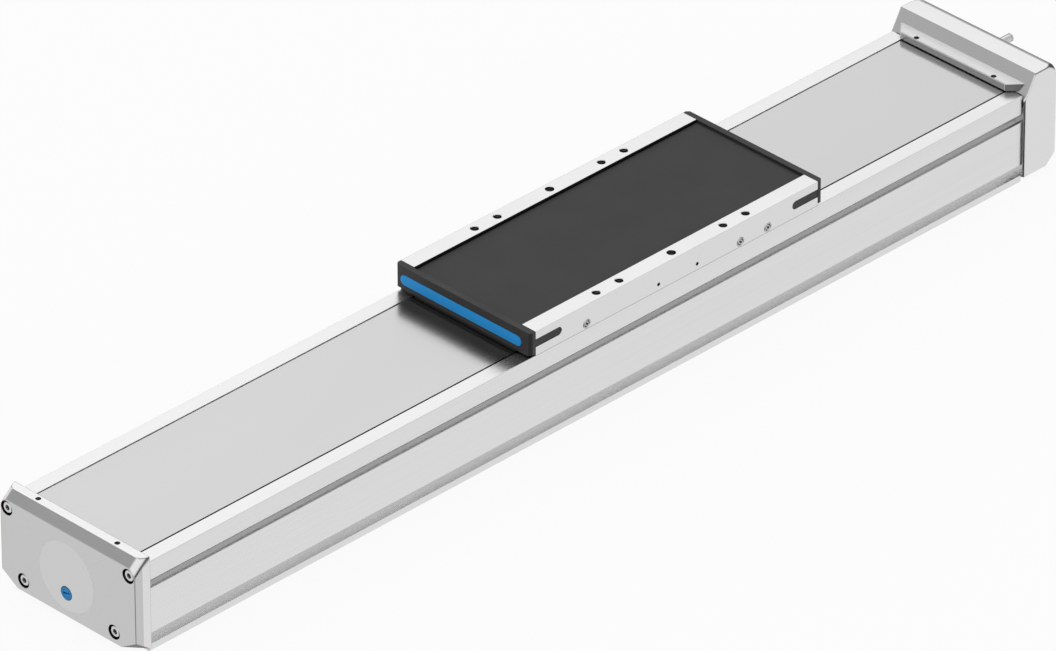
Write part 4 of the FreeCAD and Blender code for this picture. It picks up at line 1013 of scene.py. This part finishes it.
# ball screw and bearings; the plain ends are (x, radius)
ballScrewPlan = {"pitch": 20.0, "radius": 10.0, "groove": 1.45, "ball": 3.3, "from": -505.0, "to": 505.0,
                 "around": 40, "stations": 760, "fade": 12.0,
                 "nearEnd": [(-526, 0), (-526, 5.9), (-515.5, 5.9), (-515.5, 7.4), (-505, 7.4)],
                 "farEnd": [(505, 9.4), (520.5, 9.4), (520.5, 7.4), (550.5, 7.4), (550.5, 6.0), (587.4, 6.0),
                            (588, 5.4), (588, 0)]}


def makeBallScrew(plan):
    # the ball track: radius drops by a round groove where the helix phase is near zero; the ends are plain
    around, ball = plan["around"], plan["ball"]
    angle = np.linspace(0, 2 * np.pi, around, endpoint=False)
    x = np.linspace(plan["from"], plan["to"], plan["stations"])
    phase = (x[:, None] / plan["pitch"] - angle[None] / (2 * np.pi)) % 1.0
    offset = np.minimum(phase, 1 - phase) * plan["pitch"]
    half = 0.93 * ball  # half the groove's mouth
    dip = np.sqrt(np.clip(ball ** 2 - offset ** 2, 0, None)) - math.sqrt(ball ** 2 - half ** 2)
    fade = np.clip(np.minimum(x - plan["from"], plan["to"] - x) / plan["fade"], 0, 1)[:, None]
    deepest = ball * 0.633  # the dip in the middle of the groove
    radius = plan["radius"] - plan["groove"] * np.clip(dip, 0, None) / deepest * fade
    near, far = np.array(plan["nearEnd"]), np.array(plan["farEnd"])
    rows = np.concatenate([np.repeat(near[:, 1:], around, 1), radius, np.repeat(far[:, 1:], around, 1)])
    grid = np.empty(rows.shape + (3,))
    grid[:, :, 0] = np.concatenate([near[:, 0], x, far[:, 0]])[:, None]
    grid[:, :, 1] = rows * np.sin(angle)
    grid[:, :, 2] = shaftZ + rows * np.cos(angle)
    return makeMesh("ballScrew", [(grid, gridFaces(len(rows), around, False, True))], 40)


settle(makeBallScrew(ballScrewPlan), "screw", "bearing_steel", "ball_screw")

bearingPlans = {
    "floating": {"x0": -524.5, "x1": -516.5, "outer": 13.85, "outerBore": 11.5, "innerRim": 8.4,
                 "inner": 6.02, "ball": 2.3, "rows": 1, "count": 9},
    "fixed": {"x0": 520.5, "x1": 542.5, "outer": 17.3, "outerBore": 14.0, "innerRim": 10.9,
              "inner": 7.52, "ball": 2.6, "rows": 2, "count": 12},
}


def groovedRing(x0, x1, rim, other, centres, ball, pitchRadius):
    # ring whose raceway side (rim) dips by a round groove, a little wider than the ball, at each ball row
    way = 1 if rim > other else -1
    edge, lip, width = 0.4, 0.3, 1.03  # chamfers of the plain and the raceway side, groove against ball
    x = np.linspace(x0 + edge, x1 - edge, 49)
    race = np.full_like(x, rim)
    for centre in centres:
        dip = np.sqrt(np.clip((ball * width) ** 2 - (x - centre) ** 2, 0, None)) - abs(rim - pitchRadius)
        race = race - way * np.clip(dip, 0, None)
    back, front = other + edge * way, rim - lip * way
    rows = [(x0 + edge, other), (x0, back), (x0, front)] + list(zip(x, race))
    rows += [(x1, front), (x1, back), (x1 - edge, other)]
    return turned(rows, (0, 0, shaftZ), xAxis, 64)


def ballSet(centres, count, ball, pitchRadius):
    # spheres on a circle: latitude and longitude grid repeated at equal angles, each row half a step on
    lat = np.linspace(-np.pi / 2, np.pi / 2, 13)
    lon = np.linspace(0, 2 * np.pi, 20, endpoint=False)
    sphere = np.stack([np.sin(lat)[:, None] * np.ones_like(lon), np.cos(lat)[:, None] * np.cos(lon),
                       np.cos(lat)[:, None] * np.sin(lon)], -1) * ball
    faces = gridFaces(13, 20, False, True)
    parts = []
    for k, x in enumerate(centres):
        for i in range(count):
            a = 2 * np.pi * (i + 0.5 * k) / count
            parts.append((sphere + (x, pitchRadius * math.cos(a), shaftZ + pitchRadius * math.sin(a)), faces))
    return parts


def makeBearing(name, plan):
    x0, x1, ball = plan["x0"], plan["x1"], plan["ball"]
    step = (x1 - x0) / plan["rows"]
    centres = [x0 + step * (k + 0.5) for k in range(plan["rows"])]
    pitchRadius = (plan["outerBore"] + plan["innerRim"]) / 2
    for label, body, rim, other in (("Outer", "frame", plan["outerBore"], plan["outer"]),
                                    ("Inner", "screw", plan["innerRim"], plan["inner"])):
        surface = groovedRing(x0, x1, rim, other, centres, ball, pitchRadius)
        ring = makeMesh(name + label + "Ring", [surface], 30)
        settle(ring, body, "bearing_steel", name + "_bearing_" + label.lower() + "_ring")
    balls = makeMesh(name + "Balls", ballSet(centres, plan["count"], ball * 0.98, pitchRadius), 60)
    settle(balls, "frame", "bearing_steel", name + "_bearing_ball_cage")


for name, plan in bearingPlans.items():
    makeBearing(name, plan)
print("ball screw and bearings made")


# softened copies of the inner parts
innerPlan = {"guide_rail_left": 0.3, "guide_rail_right": 0.3, "guide_block_left_near": 0.5,
             "guide_block_left_far": 0.5, "guide_block_right_near": 0.5, "guide_block_right_far": 0.5,
             "nut_bracket": 0.6, "lock_nut": 0.4, "bearing_retainer": 0.4}
homes = {node: body for body, members in frame["record"]["behaviour"]["bodies"].items() for node in members}
for node, width in innerPlan.items():
    piece = copyOfNode(node)
    soften(piece, width)
    settle(piece, homes[node], slotOfNode[node], node)

stopPlan = {"radius": 7.8, "near": (-516.5, 1, 28.0), "far": (516.5, -1, 34.0)}  # wall, direction, length


def makeStops(name, x, direction, length, plan):
    # rubber buffer: slightly barrelled sides and a rounded nose, with its stud in the end piece
    r = plan["radius"]
    rows = [(-5.8, 0), (-5.8, 2.3), (0, 2.3), (0, r - 0.9)]
    rows += [(length * 0.9 * t + 0.3, r - 0.5 * (2 * t - 1) ** 2) for t in np.linspace(0, 1, 12)]
    rows += [(length - 0.8, r - 1.6), (length - 0.05, r - 4), (length - 0.05, 0)]
    return makeMesh(name, [turned(rows, (x, y, z), (direction, 0, 0), 40) for y, z in stopLines], 40)


for end in ("near", "far"):
    settle(makeStops(end + "EndStops", *stopPlan[end], stopPlan), "frame", "black_rubber", end + "_end_stops")
print("inner parts made")


# floor and light
floorPlan = {"size": 14.0, "shade": 0.94, "white": 0.90}


def anyRay(tree, *kinds):
    # 1 for rays of any of these kinds
    path = tree.nodes.new("ShaderNodeLightPath")
    first, *others = (Field(tree, path.outputs["Is " + kind + " Ray"]) for kind in kinds)
    for other in others:
        first = first.larger(other)
    return first


def makeFloor(plan):
    s = plan["size"] / mm
    floor = makeMesh("studioFloor", [([(-s, -s, 0), (s, -s, 0), (s, s, 0), (-s, s, 0)], [[0, 1, 2, 3]])])
    material = bpy.data.materials.new("paleFloor")
    material.use_nodes = True
    tree = material.node_tree
    tree.nodes.clear()
    diffuse, glow, mix, end = (tree.nodes.new("ShaderNode" + kind)
                               for kind in ("BsdfDiffuse", "Emission", "MixShader", "OutputMaterial"))
    feed((plan["shade"],) * 3 + (1,), diffuse.inputs["Color"])
    feed(anyRay(tree, "Camera", "Glossy", "Transmission") * plan["white"], mix.inputs[0])
    tree.links.new(diffuse.outputs[0], mix.inputs[1])
    tree.links.new(glow.outputs[0], mix.inputs[2])
    tree.links.new(mix.outputs[0], end.inputs["Surface"])
    floor.data.materials.append(material)
    floor.visible_glossy = False  # the light tent's lower half stands for it in reflections


# the light tent seen in reflections: (direction, inner angle, outer angle, level), painted in this order
tentPlan = {"upper": 1.08, "lower": 0.92, "horizon": 0.12, "diffuse": 1.0, "patches": [
    ((0.60, 0.60, 0.60), 22, 50, 1.35),
    ((0.60, -0.60, -0.53), 20, 50, 0.975),
    ((-0.60, 0.60, -0.53), 15, 45, 0.75),
    ((-0.62, -0.62, -0.45), 25, 43, 0.04),
    ((-0.45, 0.60, 0.66), 12, 34, 0.34),
    ((-0.75, 0.60, 0.27), 12, 30, 0.50),
    ((0.13, -0.99, 0.0), 15, 27, 0.05),
    ((0.78, 0.60, 0.03), 18, 30, 0.40),
    ((0.60, -0.53, 0.60), 14, 32, 0.78),
    ((0.95, 0.02, 0.20), 20, 36, 0.05),
    ((0.45, 0.45, -0.78), 14, 34, 0.25),
]}


def makeWorld(plan):
    world = bpy.data.worlds.new("lightTent")
    scene.world = world
    world.use_nodes = True
    tree = world.node_tree
    tree.nodes.clear()
    direction = Field(tree, tree.nodes.new("ShaderNodeTexCoord").outputs["Generated"])
    split = tree.nodes.new("ShaderNodeSeparateXYZ")
    feed(direction, split.inputs[0])
    height = Field(tree, split.outputs["Z"])
    level = height.ramp(-plan["horizon"], plan["horizon"], plan["lower"], plan["upper"], True)
    for aim, inner, outer, value in plan["patches"]:
        far, near = (math.cos(math.radians(angle)) for angle in (outer, inner))
        inPatch = direction.vector("DOT_PRODUCT", Vector(aim).normalized()).ramp(far, near, 0.0, 1.0, True)
        level = level.mix(value, inPatch)
    level = level.mix(plan["diffuse"], anyRay(tree, "Camera", "Transmission", "Diffuse"))
    back, end = tree.nodes.new("ShaderNodeBackground"), tree.nodes.new("ShaderNodeOutputWorld")
    feed(level, back.inputs["Strength"])
    tree.links.new(back.outputs[0], end.inputs["Surface"])


makeFloor(floorPlan)
makeWorld(tentPlan)
scene.view_settings.view_transform = "Standard"
print("floor and light made")
